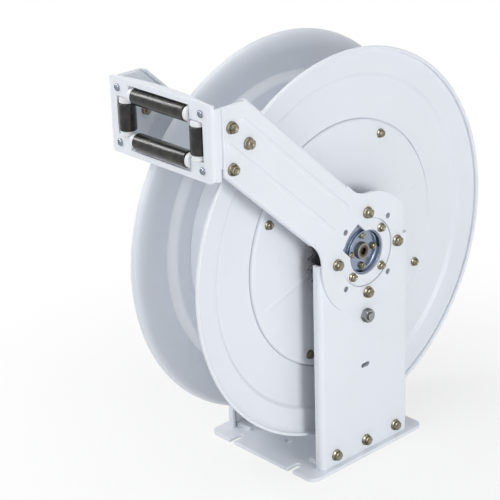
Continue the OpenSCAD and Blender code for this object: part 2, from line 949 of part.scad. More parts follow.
module roller_pin_long(r, s) {
    half = long_roller_l / 2 + boss_l;
    translate([-roller_x, -half, s * long_roller_z])
        rotate([-90, 0, 0]) cylinder(r = r, h = 2 * half);
}

module roller_pin_short(r, s) {
    half = short_roller_l / 2 + boss_l;
    translate([-roller_x, s * short_roller_y, -half]) cylinder(r = r, h = 2 * half);
}

module roller_pins() {
    color("dimgray")
        at_head()
            for (s = [-1, 1]) {
                roller_pin_long(pin_r, s);
                roller_pin_short(pin_r, s);
            }
}

// Hollow roller with rounded ends, standing on z = -l / 2
module roller(l) {
    r = roller_r;
    e = 1.5;
    bore = pin_r + run_gap;
    color("darkslategray")
        rotate_extrude()
            polygon(concat(
                [[bore, -l / 2]],
                arc([r - e, -l / 2 + e], e, -90, 0, 4),
                arc([r - e, l / 2 - e], e, 0, 90, 4),
                [[bore, l / 2]]
            ));
}

module top_roller() {
    at_head() translate([-roller_x, 0, long_roller_z]) rotate([90, 0, 0]) roller(long_roller_l);
}

module bottom_roller() {
    at_head() translate([-roller_x, 0, -long_roller_z]) rotate([90, 0, 0]) roller(long_roller_l);
}

module near_roller() {
    at_head() translate([-roller_x, -short_roller_y, 0]) roller(short_roller_l);
}

module far_roller() {
    at_head() translate([-roller_x, short_roller_y, 0]) roller(short_roller_l);
}

// ---- fixed axle ----

module axle_shaft() {
    socket_key = 10;
    color("silver")
        on_axle(0)
            difference() {
                union() {
                    rod(shaft_r, -cup_back, cup_back);
                    rod(stub_r, cup_back - 1, stub_end);
                    rod(inlet_stub_r, -inlet_end, -cup_back + 1);
                }
                hex(socket_key, stub_end - 7, stub_end + 1);
                rod(water_d / 2, -inlet_end - 1, -water_port_z + port_r / 2);
                translate([0, 0, -water_port_z])
                    rotate([90, 0, 0])
                        translate([0, 0, -shaft_r - 1]) cylinder(r = port_r, h = 2 * shaft_r + 2);
                for (s = [-1, 1]) collar_pin(s * collar_pin_z, collar_pin_r, shaft_r + 1);
            }
}

// Cross pin through the axle between the bearing cup's screws
module collar_pin(z, r, half) {
    translate([0, 0, z]) rotate([0, 90, 45]) rod(r, -half, half);
}

module axle_collars() {
    color("darkgray")
        both_sides()
            difference() {
                ring(collar_r, shaft_r + fit_gap, collar_in, cup_back);
                on_circle(cup_screw_r, 0, 2) rod(m6_hole_r, collar_in + 0.5, cup_back + 1);
                collar_pin(collar_pin_z, collar_pin_r, collar_r + 1);
            }
}

module collar_pins() {
    color("dimgray")
        both_sides() collar_pin(collar_pin_z, collar_pin_r - fit_gap, collar_r - 1);
}

module thrust_washers() {
    color("sienna")
        both_sides() ring(washer_r, shaft_r + 0.1, washer_z, collar_in - fit_gap);
}

// Fixed hub that the power spring's inner end hooks on
module spring_arbor() {
    color("gray")
        on_axle(0)
            difference() {
                ring(arbor_r, shaft_r + fit_gap, arbor_in, arbor_out);
                translate([arbor_r - 5, -2, arbor_in - 1]) cube([10, 4, arbor_out - arbor_in + 2]);
            }
}

// Water inlet: a cast elbow on the axle's end, with its threaded mouth facing down
module inlet_elbow() {
    color("goldenrod")
        on_axle(1)
            difference() {
                union() {
                    rod(elbow_r, ped_out + 3, elbow_z);
                    translate([0, 0, elbow_z]) {
                        sphere(r = elbow_r);
                        rotate([90, 0, 0]) {
                            rod(elbow_r, 0, elbow_drop);
                            hex(2 * elbow_r + 3, elbow_drop - thread_l, elbow_drop);
                        }
                    }
                }
                rod(inlet_stub_r + fit_gap, ped_out + 2, inlet_end);
                rod(water_d / 2, inlet_end - 1, elbow_z);
                translate([0, 0, elbow_z])
                    rotate([90, 0, 0]) {
                        rod(water_d / 2, 0, elbow_drop);
                        rod(thread_r, elbow_drop - thread_l, elbow_drop + 1);
                    }
            }
}

// ---- spool ----

module near_disc() {
    skin = concat(
        [[cover_r + hole_gap, web_z]],
        ease(near_step_r - step_half, web_z, near_step_r + step_half, band_z)
    );
    color("whitesmoke")
        on_axle(0) rotate_extrude() polygon(disc_section(skin));
}

module far_disc() {
    skin = concat(
        [[far_pilot_r + fit_gap, dish_z]],
        ease(far_dish_r - far_dish_w, dish_z, far_dish_r, band_z)
    );
    color("silver")
        on_axle(1)
            difference() {
                rotate_extrude() polygon(disc_section(skin));
                on_circle(spool_bolt_r, 1, 2) rod(m8_hole_r, drum_far_z - 1, dish_z + 1);
            }
}

// Places children on the axle at the water port
module on_water_port() {
    on_axle(0) translate([0, 0, -water_port_z]) children();
}

// Places children on the outlet's line, with +Z pointing away from the axle
module on_outlet() {
    on_water_port() rotate([0, 90, outlet_angle]) children();
}

module drum() {
    color("gainsboro")
        difference() {
            on_axle(0) {
                difference() {
                    rotate_extrude()
                        polygon([
                            [drum_r - disc_t, -drum_far_z], [drum_r, -drum_far_z],
                            [drum_r, drum_near_z], [drum_flange_r, drum_near_z],
                            [drum_flange_r, drum_near_z - disc_t],
                            [drum_r - disc_t, drum_near_z - disc_t]
                        ]);
                    on_cover_bolts() rod(m6_hole_r, drum_near_z - disc_t - 1, drum_near_z + 1);
                }
            }
            on_outlet() rod(outlet_r + 0.5, drum_r - 20, drum_r + 20);
        }
}

module drum_divider() {
    color("gainsboro")
        on_axle(0) ring(drum_r - disc_t - fit_gap, collar_r + 6, divider_z, divider_z + divider_t);
}

module on_cover_bolts() {
    for (i = [0:3]) rotate(cover_bolt_a + 90 * i) translate([cover_bolt_r, 0, 0]) children();
}

module spring_cover() {
    edge = cover_h + disc_t - 1;
    crease_l = cover_r - hub_flange_r - 22;
    color("white")
        on_axle(0)
            difference() {
                union() {
                    rotate_extrude()
                        polygon(concat(
                            [[hub_pilot_r + fit_gap, cover_z - cover_t],
                             [cover_r - edge, cover_z - cover_t],
                             [cover_r - cover_t, cover_z - edge],
                             [cover_r - cover_t, drum_near_z],
                             [cover_r, drum_near_z]],
                            arc([cover_r - edge, cover_z - edge], edge, 0, 90),
                            [[hub_pilot_r + fit_gap, cover_z]]
                        ));
                    for (i = [0:3])
                        rotate(cover_bolt_a - 45 + 90 * i)
                            translate([hub_flange_r + 8, 0, cover_z])
                                rotate([90, 0, 90])
                                    linear_extrude(crease_l)
                                        polygon([[-4, -0.2], [-4, 0], [0, 0.8], [4, 0], [4, -0.2]]);
                }
                on_cover_bolts() rod(m6_hole_r, cover_z - cover_t - 1, cover_z + 2);
                on_circle(spool_bolt_r, 1, 2) rod(m8_hole_r, cover_z - cover_t - 1, cover_z + 1);
            }
}

module cover_bolts() {
    under = drum_near_z - disc_t;
    color("darkkhaki")
        on_axle(0)
            on_cover_bolts() {
                translate([0, 0, cover_z]) flange_bolt(M6, cover_z - under + M6[3] + 1);
                translate([0, 0, under]) hex(M6[2], -M6[3] * nut_share, 0);
            }
}

module cover_spacers() {
    color("silver")
        on_axle(0)
            on_cover_bolts()
                ring(M6[1], m6_hole_r, drum_near_z + fit_gap, cover_z - cover_t - fit_gap);
}

module near_hub() {
    color("gray")
        on_axle(0)
            difference() {
                rotate_extrude()
                    polygon([
                        [hub_bore_r, cover_z - cover_t], [hub_pilot_r, cover_z - cover_t],
                        [hub_pilot_r, cover_z], [hub_flange_r, cover_z],
                        [hub_flange_r, cover_z + hub_flange_t],
                        [hub_body_r + 2, cover_z + hub_flange_t],
                        [hub_body_r - 2, cover_z + hub_flange_t + 4],
                        [hub_body_r - 2, wheel_back], [hub_spigot_r, wheel_back],
                        [hub_spigot_r, bush_out], [hub_bore_r, bush_out]
                    ]);
                on_circle(spool_bolt_r, 1, 2)
                    rod(m8_hole_r, cover_z - 1, cover_z + hub_flange_t + 1);
                for (i = [0:5])
                    rotate(60 * i)
                        translate([ratchet_screw_r, 0, 0]) rod(3.02, wheel_back - 9, wheel_back + 1);
            }
}

module far_hub() {
    color("gray")
        on_axle(1)
            difference() {
                rotate_extrude()
                    polygon([
                        [hub_bore_r, drum_far_z], [far_pilot_r, drum_far_z],
                        [far_pilot_r, dish_z], [hub_flange_r, dish_z],
                        [hub_flange_r, dish_z + hub_flange_t], [far_boss_r + 4, dish_z + hub_flange_t],
                        [far_boss_r, dish_z + hub_flange_t + 5], [far_boss_r, bush_out - 1],
                        [hub_bore_r, bush_out - 1]
                    ]);
                on_circle(spool_bolt_r, 1, 2) rod(m8_hole_r, dish_z - 1, dish_z + hub_flange_t + 1);
            }
}

// Bolts that hold both hubs to the spool, each with its nut inside the drum
module spool_hub_bolts() {
    nut = M8[3] * nut_share;
    color("darkkhaki") {
        on_axle(0)
            on_circle(spool_bolt_r, 1, 2) {
                translate([0, 0, cover_z + hub_flange_t])
                    flange_bolt(M8, hub_flange_t + cover_t + nut + 1);
                translate([0, 0, cover_z - cover_t]) hex(M8[2], -nut, 0);
            }
        on_axle(1)
            on_circle(spool_bolt_r, 1, 2) {
                translate([0, 0, dish_z + hub_flange_t])
                    flange_bolt(M8, hub_flange_t + disc_t + nut + 1);
                translate([0, 0, drum_far_z]) hex(M8[2], -nut, 0);
            }
    }
}

module axle_bushes() {
    color("sienna") {
        on_axle(0) ring(bush_r, shaft_r + run_gap, cover_z - cover_t, bush_out);
        on_axle(1) ring(bush_r, shaft_r + run_gap, drum_far_z, bush_out);
    }
}

// ---- ratchet ----

// One wing with its group of teeth, turned by a: the hollow corner that leads into it, its
// teeth, the corner that leads out of it, and the waist up to the other wing
function wing_outline(a) = let (
    r = waist_corner_r,
    corner_a = asin(r / (waist_r + r)),
    first = a + wing_start,
    last = a + wing_end,
    next = first + 180
) concat(
    arc(polar(waist_r + r, first - corner_a), r, first - corner_a + 180, first + 90),
    [polar(tooth_root_r, first)],
    [for (i = [0:group_teeth - 1]) each [
        polar(tooth_tip_r, first + (i + 1 - root_share) * tooth_pitch),
        polar(tooth_root_r, first + (i + 1) * tooth_pitch)
    ]],
    arc(polar(waist_r + r, last + corner_a), r, last - 90, last + corner_a - 180),
    [for (i = [1:19]) polar(waist_r, last + corner_a + (next - last - 2 * corner_a) * i / 20)]
);

// Flat wheel: two toothed wings on a round waist, so that the pawl holds the spool over
// part of each turn only and a short pull lets it rewind
module ratchet_wheel() {
    color("darkgray")
        on_axle(0)
            difference() {
                translate([0, 0, wheel_back])
                    linear_extrude(tooth_t)
                        difference() {
                            polygon(concat(wing_outline(0), wing_outline(180)));
                            circle(r = hub_spigot_r + 0.1);
                        }
                for (i = [0:5])
                    rotate(60 * i)
                        translate([ratchet_screw_r, 0, 0]) rod(m6_hole_r, wheel_back - 1, wheel_front + 1);
                for (side = [0, 180], a = [-32, 0, 32])
                    rotate(side + (wing_start + wing_end) / 2 + a)
                        translate([61, 0, 0]) rod(10, wheel_back - 1, wheel_front + 1);
            }
}

module ratchet_screws() {
    color("darkkhaki")
        on_axle(0)
            for (i = [0:5])
                rotate(60 * i)
                    translate([ratchet_screw_r, 0, wheel_front]) flange_bolt(M6, tooth_t + 7);
}

// The pawl lies in a tooth gap right of its pivot, its tail left of it
nose_k = tooth_pitch / 10;
nose_a = gap_root_a + 0.8 * nose_k;
hook_pin = pivot - [spring_arm, 2];
post_place = hook_pin - [0, pawl_spring_l];

module ratchet_pawl() {
    heel = polar(nose_back_r, nose_a - 1.4 * nose_k);
    color("darkgray")
        on_axle(0)
            difference() {
                union() {
                    translate([0, 0, pawl_back])
                        linear_extrude(pawl_t) {
                            link2d(pivot, lever_root_r, heel, lever_end_r);
                            link2d(pivot, lever_root_r, hook_pin, lever_end_r - 3);
                        }
                    translate([0, 0, wheel_back + 0.5])
                        linear_extrude(pawl_front - wheel_back - 0.5)
                            polygon([
                                polar(nose_tip_r, nose_a),
                                polar(tooth_tip_r + 3, nose_a + 1.9 * nose_k),
                                polar(nose_back_r + 4, nose_a + 2.1 * nose_k),
                                polar(nose_back_r + 4, nose_a - 4.8 * nose_k),
                                polar(tooth_tip_r + 2, nose_a - 3.7 * nose_k)
                            ]);
                    translate(hook_pin) rod(hook_pin_r, coil_z - 2, pawl_back + 1);
                }
                translate(pivot) rod(pivot_r + run_gap, pawl_back - 1, pawl_front + 1);
            }
}

module pawl_stud() {
    color("silver")
        on_axle(0)
            translate(pivot) {
                rod(pivot_r + 3, pawl_back - 2.1, pawl_back - 0.1);
                rod(pivot_r, pawl_back - 0.5, ped_in);
                rod(pivot_r - 2, ped_in - 0.5, ped_out + 13);
            }
}

module pawl_nut() {
    color("gainsboro")
        on_axle(0)
            translate(pivot)
                difference() {
                    intersection() {
                        hex(19, ped_out, ped_out + 10);
                        translate([0, 0, ped_out]) cylinder(r1 = 19.5, r2 = 9.5, h = 10);
                    }
                    rod(pivot_r - 2 + fit_gap, ped_out - 1, ped_out + 11);
                }
}

module spring_post() {
    color("dimgray")
        on_axle(0)
            translate(post_place) {
                rod(hook_pin_r, coil_z - 2, ped_in);
                rod(hook_pin_r + 2.5, ped_in - 2, ped_in);
            }
}

// ---- springs ----

// A tube swept along a list of points, with its rings carried along the path
function unit(v) = v / norm(v);
function heading(path, i) =
    unit(path[min(i + 1, len(path) - 1)] - path[max(i - 1, 0)]);
function flatten_on(n, t) = unit(n - (n * t) * t);
function carried(path, n0) = [
    for (i = 0, n = flatten_on(n0, heading(path, 0)); i < len(path);
         i = i + 1, n = i < len(path) ? flatten_on(n, heading(path, i)) : n) n
];

module tube(path, r, n0, sides = 6) {
    normals = carried(path, n0);
    count = len(path);
    points = [
        for (i = [0:count - 1], k = [0:sides - 1])
            let (t = heading(path, i), b = cross(t, normals[i]), a = 360 * k / sides)
                path[i] + r * (cos(a) * normals[i] + sin(a) * b)
    ];
    walls = [
        for (i = [0:count - 2], k = [0:sides - 1])
            let (a = i * sides + k, b = i * sides + (k + 1) % sides)
                each [[a, a + sides, b], [b, a + sides, b + sides]]
    ];
    caps = [
        for (k = [1:sides - 2]) each [
            [0, k, k + 1],
            [(count - 1) * sides, (count - 1) * sides + k + 1, (count - 1) * sides + k]
        ]
    ];
    polyhedron(points, concat(walls, caps));
}

// Least distance between two stretches of the path that are more than apart points away
function least_gap(path, apart) = min([
    for (i = [0:len(path) - 1], j = [i + apart:1:len(path) - 1]) norm(path[i] - path[j])
]);

// Extension spring: hook round the lower post, coil, hook round the upper pin.
// Its own frame is X and Y as on the axle, with the coil's axis along Y.
coil_steps = 8;
coil_l = pawl_spring_l - 2 * hook_r - 5;
hook_steps = 10;
spring_path = concat(
    [for (i = [0:hook_steps])
        let (a = 150 - 240 * i / hook_steps) [hook_r * cos(a), hook_r * sin(a) * -1, 0]],
    [for (i = [0:pawl_spring_turns * coil_steps])
        let (a = 360 * i / coil_steps, rise = i / (pawl_spring_turns * coil_steps),
             grow = min(1, i / 4, (pawl_spring_turns * coil_steps - i) / 4))
            [coil_r * grow * sin(a), hook_r + 2.5 + coil_l * rise, coil_r * grow * cos(a)]],
    [for (i = [0:hook_steps])
        let (a = -90 + 240 * i / hook_steps)
            [hook_r * cos(a), pawl_spring_l + hook_r * sin(a), 0]]
);
echo(pawl_spring_least_gap = least_gap(spring_path, coil_steps - 1) - 2 * wire_r);

module pawl_spring() {
    color("silver")
        on_axle(0)
            translate([post_place[0], post_place[1], coil_z]) tube(spring_path, wire_r, [0, 0, 1]);
}

// Power spring: a flat spiral from the arbor out to the drum's wall
spiral_steps = 30;
spiral_in = arbor_r + seat_gap + strip_t;
spiral_out = drum_r - disc_t - seat_gap;

module main_spring() {
    count = spring_turns * spiral_steps;
    rise = spiral_out - spiral_in;
    color("slategray")
        on_axle(0)
            translate([0, 0, divider_z + divider_t + 3])
                linear_extrude(spring_w)
                    polygon(concat(
                        [for (i = [0:count])
                            polar(spiral_in + rise * i / count, 360 * i / spiral_steps)],
                        [for (i = [count:-1:0])
                            polar(spiral_in + rise * i / count - strip_t, 360 * i / spiral_steps)]
                    ));
}

// ---- water way in the spool ----

module swivel_manifold() {
    bore = shaft_r + run_gap;
    groove = bore + 5;
    color("goldenrod")
        difference() {
            union() {
                on_water_port()
                    rotate_extrude()
                        difference() {
                            translate([bore, -manifold_half])
                                square([manifold_r - bore, 2 * manifold_half]);
                            translate([0, -groove_half]) square([groove, 2 * groove_half]);
                            for (s = [-1, 1])
                                translate([0, s * seal_z - seal_t / 2]) square([bore + seal_t, seal_t]);
                        }
                on_outlet() rod(manifold_half - 1, groove + 3, pipe_start);
            }
            on_outlet() rod(thread_r - 3, groove - 3, pipe_start + 1);
        }
}

module swivel_seals() {
    bore = shaft_r + run_gap;
    color("black")
        on_axle(0)
            for (s = [-1, 1])
                translate([0, 0, -water_port_z + s * seal_z])
                    rotate_extrude()
                        translate([bore + seal_t / 2, 0]) circle(d = seal_t - 2 * fit_gap, $fn = 32);
}

module outlet_pipe() {
    color("goldenrod")
        on_outlet() ring(outlet_r - 2, thread_r - 3, pipe_start, pipe_end);
}

module outlet_fitting() {
    mouth = drum_r + thread_l + 2;
    color("goldenrod")
        on_outlet()
            difference() {
                union() {
                    rod(outlet_r, pipe_end, mouth);
                    hex(2 * outlet_r + 4, drum_r + 2, mouth - 3);
                }
                rod(thread_r - 3, pipe_end - 1, mouth + 1);
                rod(thread_r, mouth - thread_l, mouth + 1);
            }
}

base_plate();
near_foot_angle();
far_foot_angle();
near_pedestal();
far_pedestal();
foot_bolts();
foot_nuts();
near_bearing_plate();
far_bearing_plate();
near_bearing_cup();
far_bearing_cup();
bearing_plate_bolts();
bearing_cup_screws();
near_guide_arm();
far_guide_arm();
hub_bolts();
hub_nuts();
guide_head();
corner_blocks();
head_rivets();
roller_pins();
arm_bolts();
arm_nuts();
axle_shaft();
axle_collars();
collar_pins();
thrust_washers();
spring_arbor();
pawl_stud();
pawl_nut();
pawl_spring();
spring_post();
inlet_elbow();
near_disc();
far_disc();
drum();
drum_divider();
spring_cover();
cover_bolts();
cover_spacers();
near_hub();
far_hub();
spool_hub_bolts();
axle_bushes();
ratchet_wheel();
ratchet_screws();
main_spring();
swivel_manifold();
swivel_seals();
outlet_pipe();
outlet_fitting();
ratchet_pawl();
top_roller();
bottom_roller();
near_roller();
far_roller();
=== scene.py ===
"""Looks of a spring-rewind fire hose reel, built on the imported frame. Lengths are in metres."""

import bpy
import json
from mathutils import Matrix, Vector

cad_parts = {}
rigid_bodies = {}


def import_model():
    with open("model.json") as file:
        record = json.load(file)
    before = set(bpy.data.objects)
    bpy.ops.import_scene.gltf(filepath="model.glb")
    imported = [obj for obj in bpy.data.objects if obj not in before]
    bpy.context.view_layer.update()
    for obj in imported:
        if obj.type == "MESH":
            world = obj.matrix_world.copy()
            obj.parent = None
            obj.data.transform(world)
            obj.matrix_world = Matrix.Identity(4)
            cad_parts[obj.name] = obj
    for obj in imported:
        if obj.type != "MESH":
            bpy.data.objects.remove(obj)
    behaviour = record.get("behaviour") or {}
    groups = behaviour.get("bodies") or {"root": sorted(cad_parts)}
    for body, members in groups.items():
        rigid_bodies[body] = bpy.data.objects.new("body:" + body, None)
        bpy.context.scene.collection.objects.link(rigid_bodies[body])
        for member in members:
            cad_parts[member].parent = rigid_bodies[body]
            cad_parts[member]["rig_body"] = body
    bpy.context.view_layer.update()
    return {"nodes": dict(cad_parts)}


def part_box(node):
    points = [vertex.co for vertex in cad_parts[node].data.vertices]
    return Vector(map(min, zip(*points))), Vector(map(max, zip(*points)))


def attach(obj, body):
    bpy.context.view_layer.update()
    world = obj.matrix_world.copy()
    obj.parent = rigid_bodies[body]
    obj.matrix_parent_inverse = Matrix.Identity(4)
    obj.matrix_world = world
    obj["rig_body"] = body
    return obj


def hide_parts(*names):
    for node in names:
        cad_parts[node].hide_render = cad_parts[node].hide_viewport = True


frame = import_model()

import json
from math import asin, cos, pi, radians, sin, sqrt

import bmesh
import bpy
from mathutils import Matrix, Vector
from mathutils.bvhtree import BVHTree

bl_info = {
    "name": "Fire hose reel",
    "version": (1, 0, 0),
    "blender": (4, 5, 0),
    "location": "View3D > Sidebar > Hose reel",
    "description": "Builds the finished surfaces of a hose reel on its packed frame",
    "category": "Object",
}

MM = 0.001
NEAR, FAR = 0, 1
DISC_LOW, DISC_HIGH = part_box("near_disc")
DISC_R = (DISC_HIGH.x - DISC_LOW.x) / 2
AXLE_Z = (DISC_LOW.z + DISC_HIGH.z) / 2
RIM_H = -DISC_LOW.y
BAND_H = RIM_H - 8 * MM  # the flat bands of discs and cover lie 8 mm inside the rolled rim
PED_OUT = -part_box("near_pedestal")[0].y
HEAD_LOW, HEAD_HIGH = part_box("guide_head")
HEAD_Z = (HEAD_LOW.z + HEAD_HIGH.z) / 2


def linear(code):
    """Linear RGBA of an sRGB hex colour."""
    parts = [int(code[i:i + 2], 16) / 255 for i in (0, 2, 4)]
    return tuple(c / 12.92 if c <= 0.04045 else ((c + 0.055) / 1.055) ** 2.4 for c in parts) + (1.0,)


def add(tree, kind, sets=None, links=None):
    """Adds a node to a tree: sets holds its settings, links each input's value or source socket."""
    node = tree.nodes.new(kind)
    for name, value in (sets or {}).items():
        setattr(node, name, value)
    for name, value in (links or {}).items():
        if isinstance(value, bpy.types.NodeSocket):
            tree.links.new(value, node.inputs[name])
        else:
            node.inputs[name].default_value = value
    return node


def calc(tree, kind, *values):
    """The result of a math node."""
    return add(tree, "ShaderNodeMath", {"operation": kind}, dict(enumerate(values))).outputs[0]


def vector(tree, x=0.0, y=0.0, z=0.0):
    return add(tree, "ShaderNodeCombineXYZ", links={"X": x, "Y": y, "Z": z}).outputs[0]


def spread(tree, value, low, high, start=0.0, end=1.0, kind="LINEAR"):
    """A value brought from start..end to low..high."""
    return add(tree, "ShaderNodeMapRange", {"interpolation_type": kind}, {
        "Value": value, "From Min": start, "From Max": end, "To Min": low, "To Max": high}).outputs[0]


# ---- what a user would change ----

def length(name, text, default, low=0.0, high=1.0):
    return bpy.props.FloatProperty(
        name=name, description=text, default=default, min=low, max=high, unit="LENGTH", precision=5)


def colour(name, text, code):
    return bpy.props.FloatVectorProperty(
        name=name, description=text, default=linear(code), size=4, min=0.0, max=1.0, subtype="COLOR")


class ReelSizes(bpy.types.PropertyGroup):
    sheet_edge: length("Sheet edge", "Radius on the edges of the cut and bent sheets", 0.7 * MM)
    cast_edge: length("Cast edge", "Radius on the edges of cast and turned pieces", 0.6 * MM)
    bolt_cup: length("Bolt cup", "Depth of the cup pressed into the bolt heads", 0.7 * MM)
    thread_pitch: length("Thread pitch", "Pitch of the M8 thread", 1.25 * MM)
    weld_size: length("Weld size", "Leg of the fillet welds on the foot angles", 3 * MM)
    weld_ripple: length("Weld ripple", "Distance between the ripples of a weld", 2 * MM)
    crease_height: length("Crease height", "Height of the creases pressed in the spring cover", 0.9 * MM)
    round_steps: bpy.props.IntProperty(
        name="Round steps", description="Steps round a disc", default=256, min=32, max=512)


class ReelColours(bpy.types.PropertyGroup):
    powder_coat: colour("Powder coat", "White powder coat on every sheet", "E6EAF1")
    zinc_straw: colour("Zinc straw", "Yellow chromate on zinc, where it is thin", "928E7C")
    zinc_olive: colour("Zinc olive", "Yellow chromate on zinc, where it turns green", "525243")
    zinc_rose: colour("Zinc rose", "Yellow chromate on zinc, where it turns pink", "A08D83")
    zinc_blue: colour("Blue zinc", "Clear chromate on zinc", "96A0B2")
    zinc_bright: colour("Bright zinc", "Zinc plate of the pawl's nut", "A9ABAD")
    steel: colour("Steel", "Turned and ground steel", "A4A6A9")
    spring: colour("Spring steel", "Power spring and pawl spring", "6A7077")
    nickel: colour("Nickel", "Plated rivets", "8E94A0")
    # the axle's end is painted in two tones: lighter towards its edge, darker and browner in its middle
    axle: colour("Axle", "Clean ring round the axle's end", "94918C")
    axle_middle_tone: colour("Grease", "Old grease in the middle of the axle's end", "5E544C")
    # painted shade: a tint darker than bare metal's own, darkening plain metals at grazing angles in
    # place of reflections of dark surroundings
    metal_edge_shade: colour("Metal edge", "What plain metals show at a grazing angle", "6A6A6A")
    nylon_black: colour("Black nylon", "Guide rollers", "0F0F0F")
    nylon_dust: colour("Nylon dust", "Dust on the guide rollers", "393835")
    nylon_white: colour("White nylon", "Corner blocks that hold the roller pins", "E4E7EA")
    rubber: colour("Rubber", "Seals of the swivel", "1C1C1C")
    brass: colour("Brass", "Water fittings", "B5944F")
    bronze: colour("Bronze", "Bushes and washers", "8C6239")
    iron: colour("Cast iron", "Hubs and ratchet wheel", "85878A")
    floor: colour("Floor", "Plain pale floor", "F2F2F2")


def power(name, text, default):
    return bpy.props.FloatProperty(name=name, description=text, default=default, min=0, unit="POWER")


class ReelStage(bpy.types.PropertyGroup):
    lens: bpy.props.FloatProperty(
        name="Lens", description="Focal length on a 36 mm wide sensor", default=124.55, min=20,
        max=300, unit="CAMERA")
    key_power: power("Key power", "Soft lamp in front of the near pedestal", 33)
    fill_power: power("Fill power", "Soft lamp above the reel", 14)
    rim_power: power("Rim power", "Soft lamp at the guide head's side", 13)
    back_power: power("Back power", "Narrow lamp behind, for the rollers' highlights", 22)
    air: bpy.props.FloatProperty(
        name="Air", description="Strength of the even light from all round", default=0.33, min=0,
        max=1, subtype="FACTOR")


MADE = {}


def once(make, *given):
    """What a function makes, made the first time it is asked for."""
    if make not in MADE:
        MADE[make] = make(*given)
    return MADE[make]


def finish(make):
    """The material of a finish, asked for by the function that makes it."""
    return once(make, bpy.context.scene.reel_colours)


# ---- meshes ----

def paint(mesh, material):
    mesh.materials.clear()
    mesh.materials.append(material)


def piece(name, mesh, body, nodes=(), material=None):
    """Puts a finished mesh in the scene, riding on its body in place of the named nodes."""
    made = bpy.data.objects.new(name, mesh)
    bpy.context.scene.collection.objects.link(made)
    if material:
        paint(mesh, material)
    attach(made, body)
    if nodes:
        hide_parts(*nodes)
    return made


def tidy_shell(mesh, sharp=38):
    """Merges doubles, points the faces outwards and keeps edges sharper than the angle."""
    shell = bmesh.new()
    shell.from_mesh(mesh)
    bmesh.ops.remove_doubles(shell, verts=shell.verts, dist=2e-6)
    bmesh.ops.recalc_face_normals(shell, faces=shell.faces)
    shell.to_mesh(mesh)
    shell.free()
    mesh.shade_smooth()
    mesh.set_sharp_from_angle(angle=radians(sharp))
    return mesh


def softened(node, radius, steps, sharp=32):
    """A CAD node's shape with its sharp edges rounded, except along steps of a hair."""
    mesh = frame["nodes"][node].data.copy()
    mesh.name = node + "_softened"
    shape = bmesh.new()
    shape.from_mesh(mesh)
    bmesh.ops.remove_doubles(shape, verts=shape.verts, dist=2e-6)
    bmesh.ops.dissolve_limit(
        shape, angle_limit=radians(0.6), verts=shape.verts, edges=shape.edges)
    skin = BVHTree.FromBMesh(shape)
    corners = [
        e for e in shape.edges if e.is_manifold and e.calc_face_angle() > radians(sharp)
        and all(face.calc_area() > 0.05 * MM * e.calc_length() for face in e.link_faces)]
    bmesh.ops.bevel(
        shape, geom=corners, offset=radius, offset_type="OFFSET", segments=steps, profile=0.5,
        affect="EDGES", clamp_overlap=False)
    # a rounding never strays further from the sheet than its own radius
    for vertex in shape.verts:
        nearest, _, _, gap = skin.find_nearest(vertex.co)
        if gap > radius:
            vertex.co = nearest
    shape.to_mesh(mesh)
    shape.free()
    mesh.shade_smooth()
    mesh.set_sharp_from_angle(angle=radians(50))
    return mesh


def soft_piece(node, look, radius, steps=2):
    """Puts a softened copy in a CAD node's place, with the finish that the look's function makes."""
    body = frame["nodes"][node]["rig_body"]
    made = piece(node + "_finished", softened(node, radius, steps), body, [node], finish(look))
    weigh = made.modifiers.new("Even normals", "WEIGHTED_NORMAL")
    weigh.keep_sharp = True
    return made


def new_tree(name, inputs):
    """A node tree on a mesh, with named inputs given as [name, kind, default]."""
    tree = bpy.data.node_groups.new(name, "GeometryNodeTree")
    tree.interface.new_socket("Geometry", in_out="INPUT", socket_type="NodeSocketGeometry")
    for label, kind, default in inputs:
        socket = tree.interface.new_socket(label, in_out="INPUT", socket_type="NodeSocket" + kind)
        if default is not None:
            socket.default_value = default
    tree.interface.new_socket("Geometry", in_out="OUTPUT", socket_type="NodeSocketGeometry")
    return tree, add(tree, "NodeGroupInput").outputs


def close_tree(tree, geometry, material):
    """Ends a tree with real, painted geometry."""
    real = add(tree, "GeometryNodeRealizeInstances", links={"Geometry": geometry})
    painted = add(tree, "GeometryNodeSetMaterial",
                  links={"Geometry": real.outputs[0], "Material": material})
    add(tree, "NodeGroupOutput", links={"Geometry": painted.outputs[0]})
    return tree


def grown(name, tree, seed_mesh, values, sharp=38):
    """The plain mesh that a node tree makes from a seed mesh."""
    seed = bpy.data.objects.new(name + "_seed", seed_mesh)
    bpy.context.scene.collection.objects.link(seed)
    modifier = seed.modifiers.new(tree.name, "NODES")
    modifier.node_group = tree
    for item in tree.interface.items_tree:
        if item.item_type == "SOCKET" and item.in_out == "INPUT" and item.name in values:
            modifier[item.identifier] = values[item.name]
    evaluated = seed.evaluated_get(bpy.context.evaluated_depsgraph_get())
    mesh = bpy.data.meshes.new_from_object(evaluated)
    seed.modifiers.clear()
    bpy.data.objects.remove(seed)
    mesh.name = name
    return tidy_shell(mesh, sharp)


def on_axle(x, y, height, side=NEAR):
    """World place of a point given on the axle: x along X, y up, height outwards."""
    return Vector((x, height if side else -height, AXLE_Z + y))


def polar(radius, degrees):
    return radius * cos(radians(degrees)), radius * sin(radians(degrees))


def arc(centre, radius, start, end, count=8):
    """Points on an arc in a section of [distance from the axis, height along it]."""
    return [tuple(Vector(centre) + Vector(polar(radius, start + (end - start) * i / count)))
            for i in range(count + 1)]


# ---- node trees ----

def along(tree, geometry, z):
    """Geometry moved along Z."""
    return add(tree, "GeometryNodeTransform", links={
        "Geometry": geometry, "Translation": vector(tree, z=z)}).outputs[0]


def cylinder(tree, sides, radius, depth):
    return add(tree, "GeometryNodeMeshCylinder", links={
        "Vertices": sides, "Radius": radius, "Depth": depth}).outputs["Mesh"]


def cone(tree, sides, low, high, depth):
    """A cone that stands on Z = 0, given by the radius of its low and its high end."""
    return add(tree, "GeometryNodeMeshCone", links={
        "Vertices": sides, "Radius Bottom": low, "Radius Top": high, "Depth": depth}).outputs["Mesh"]


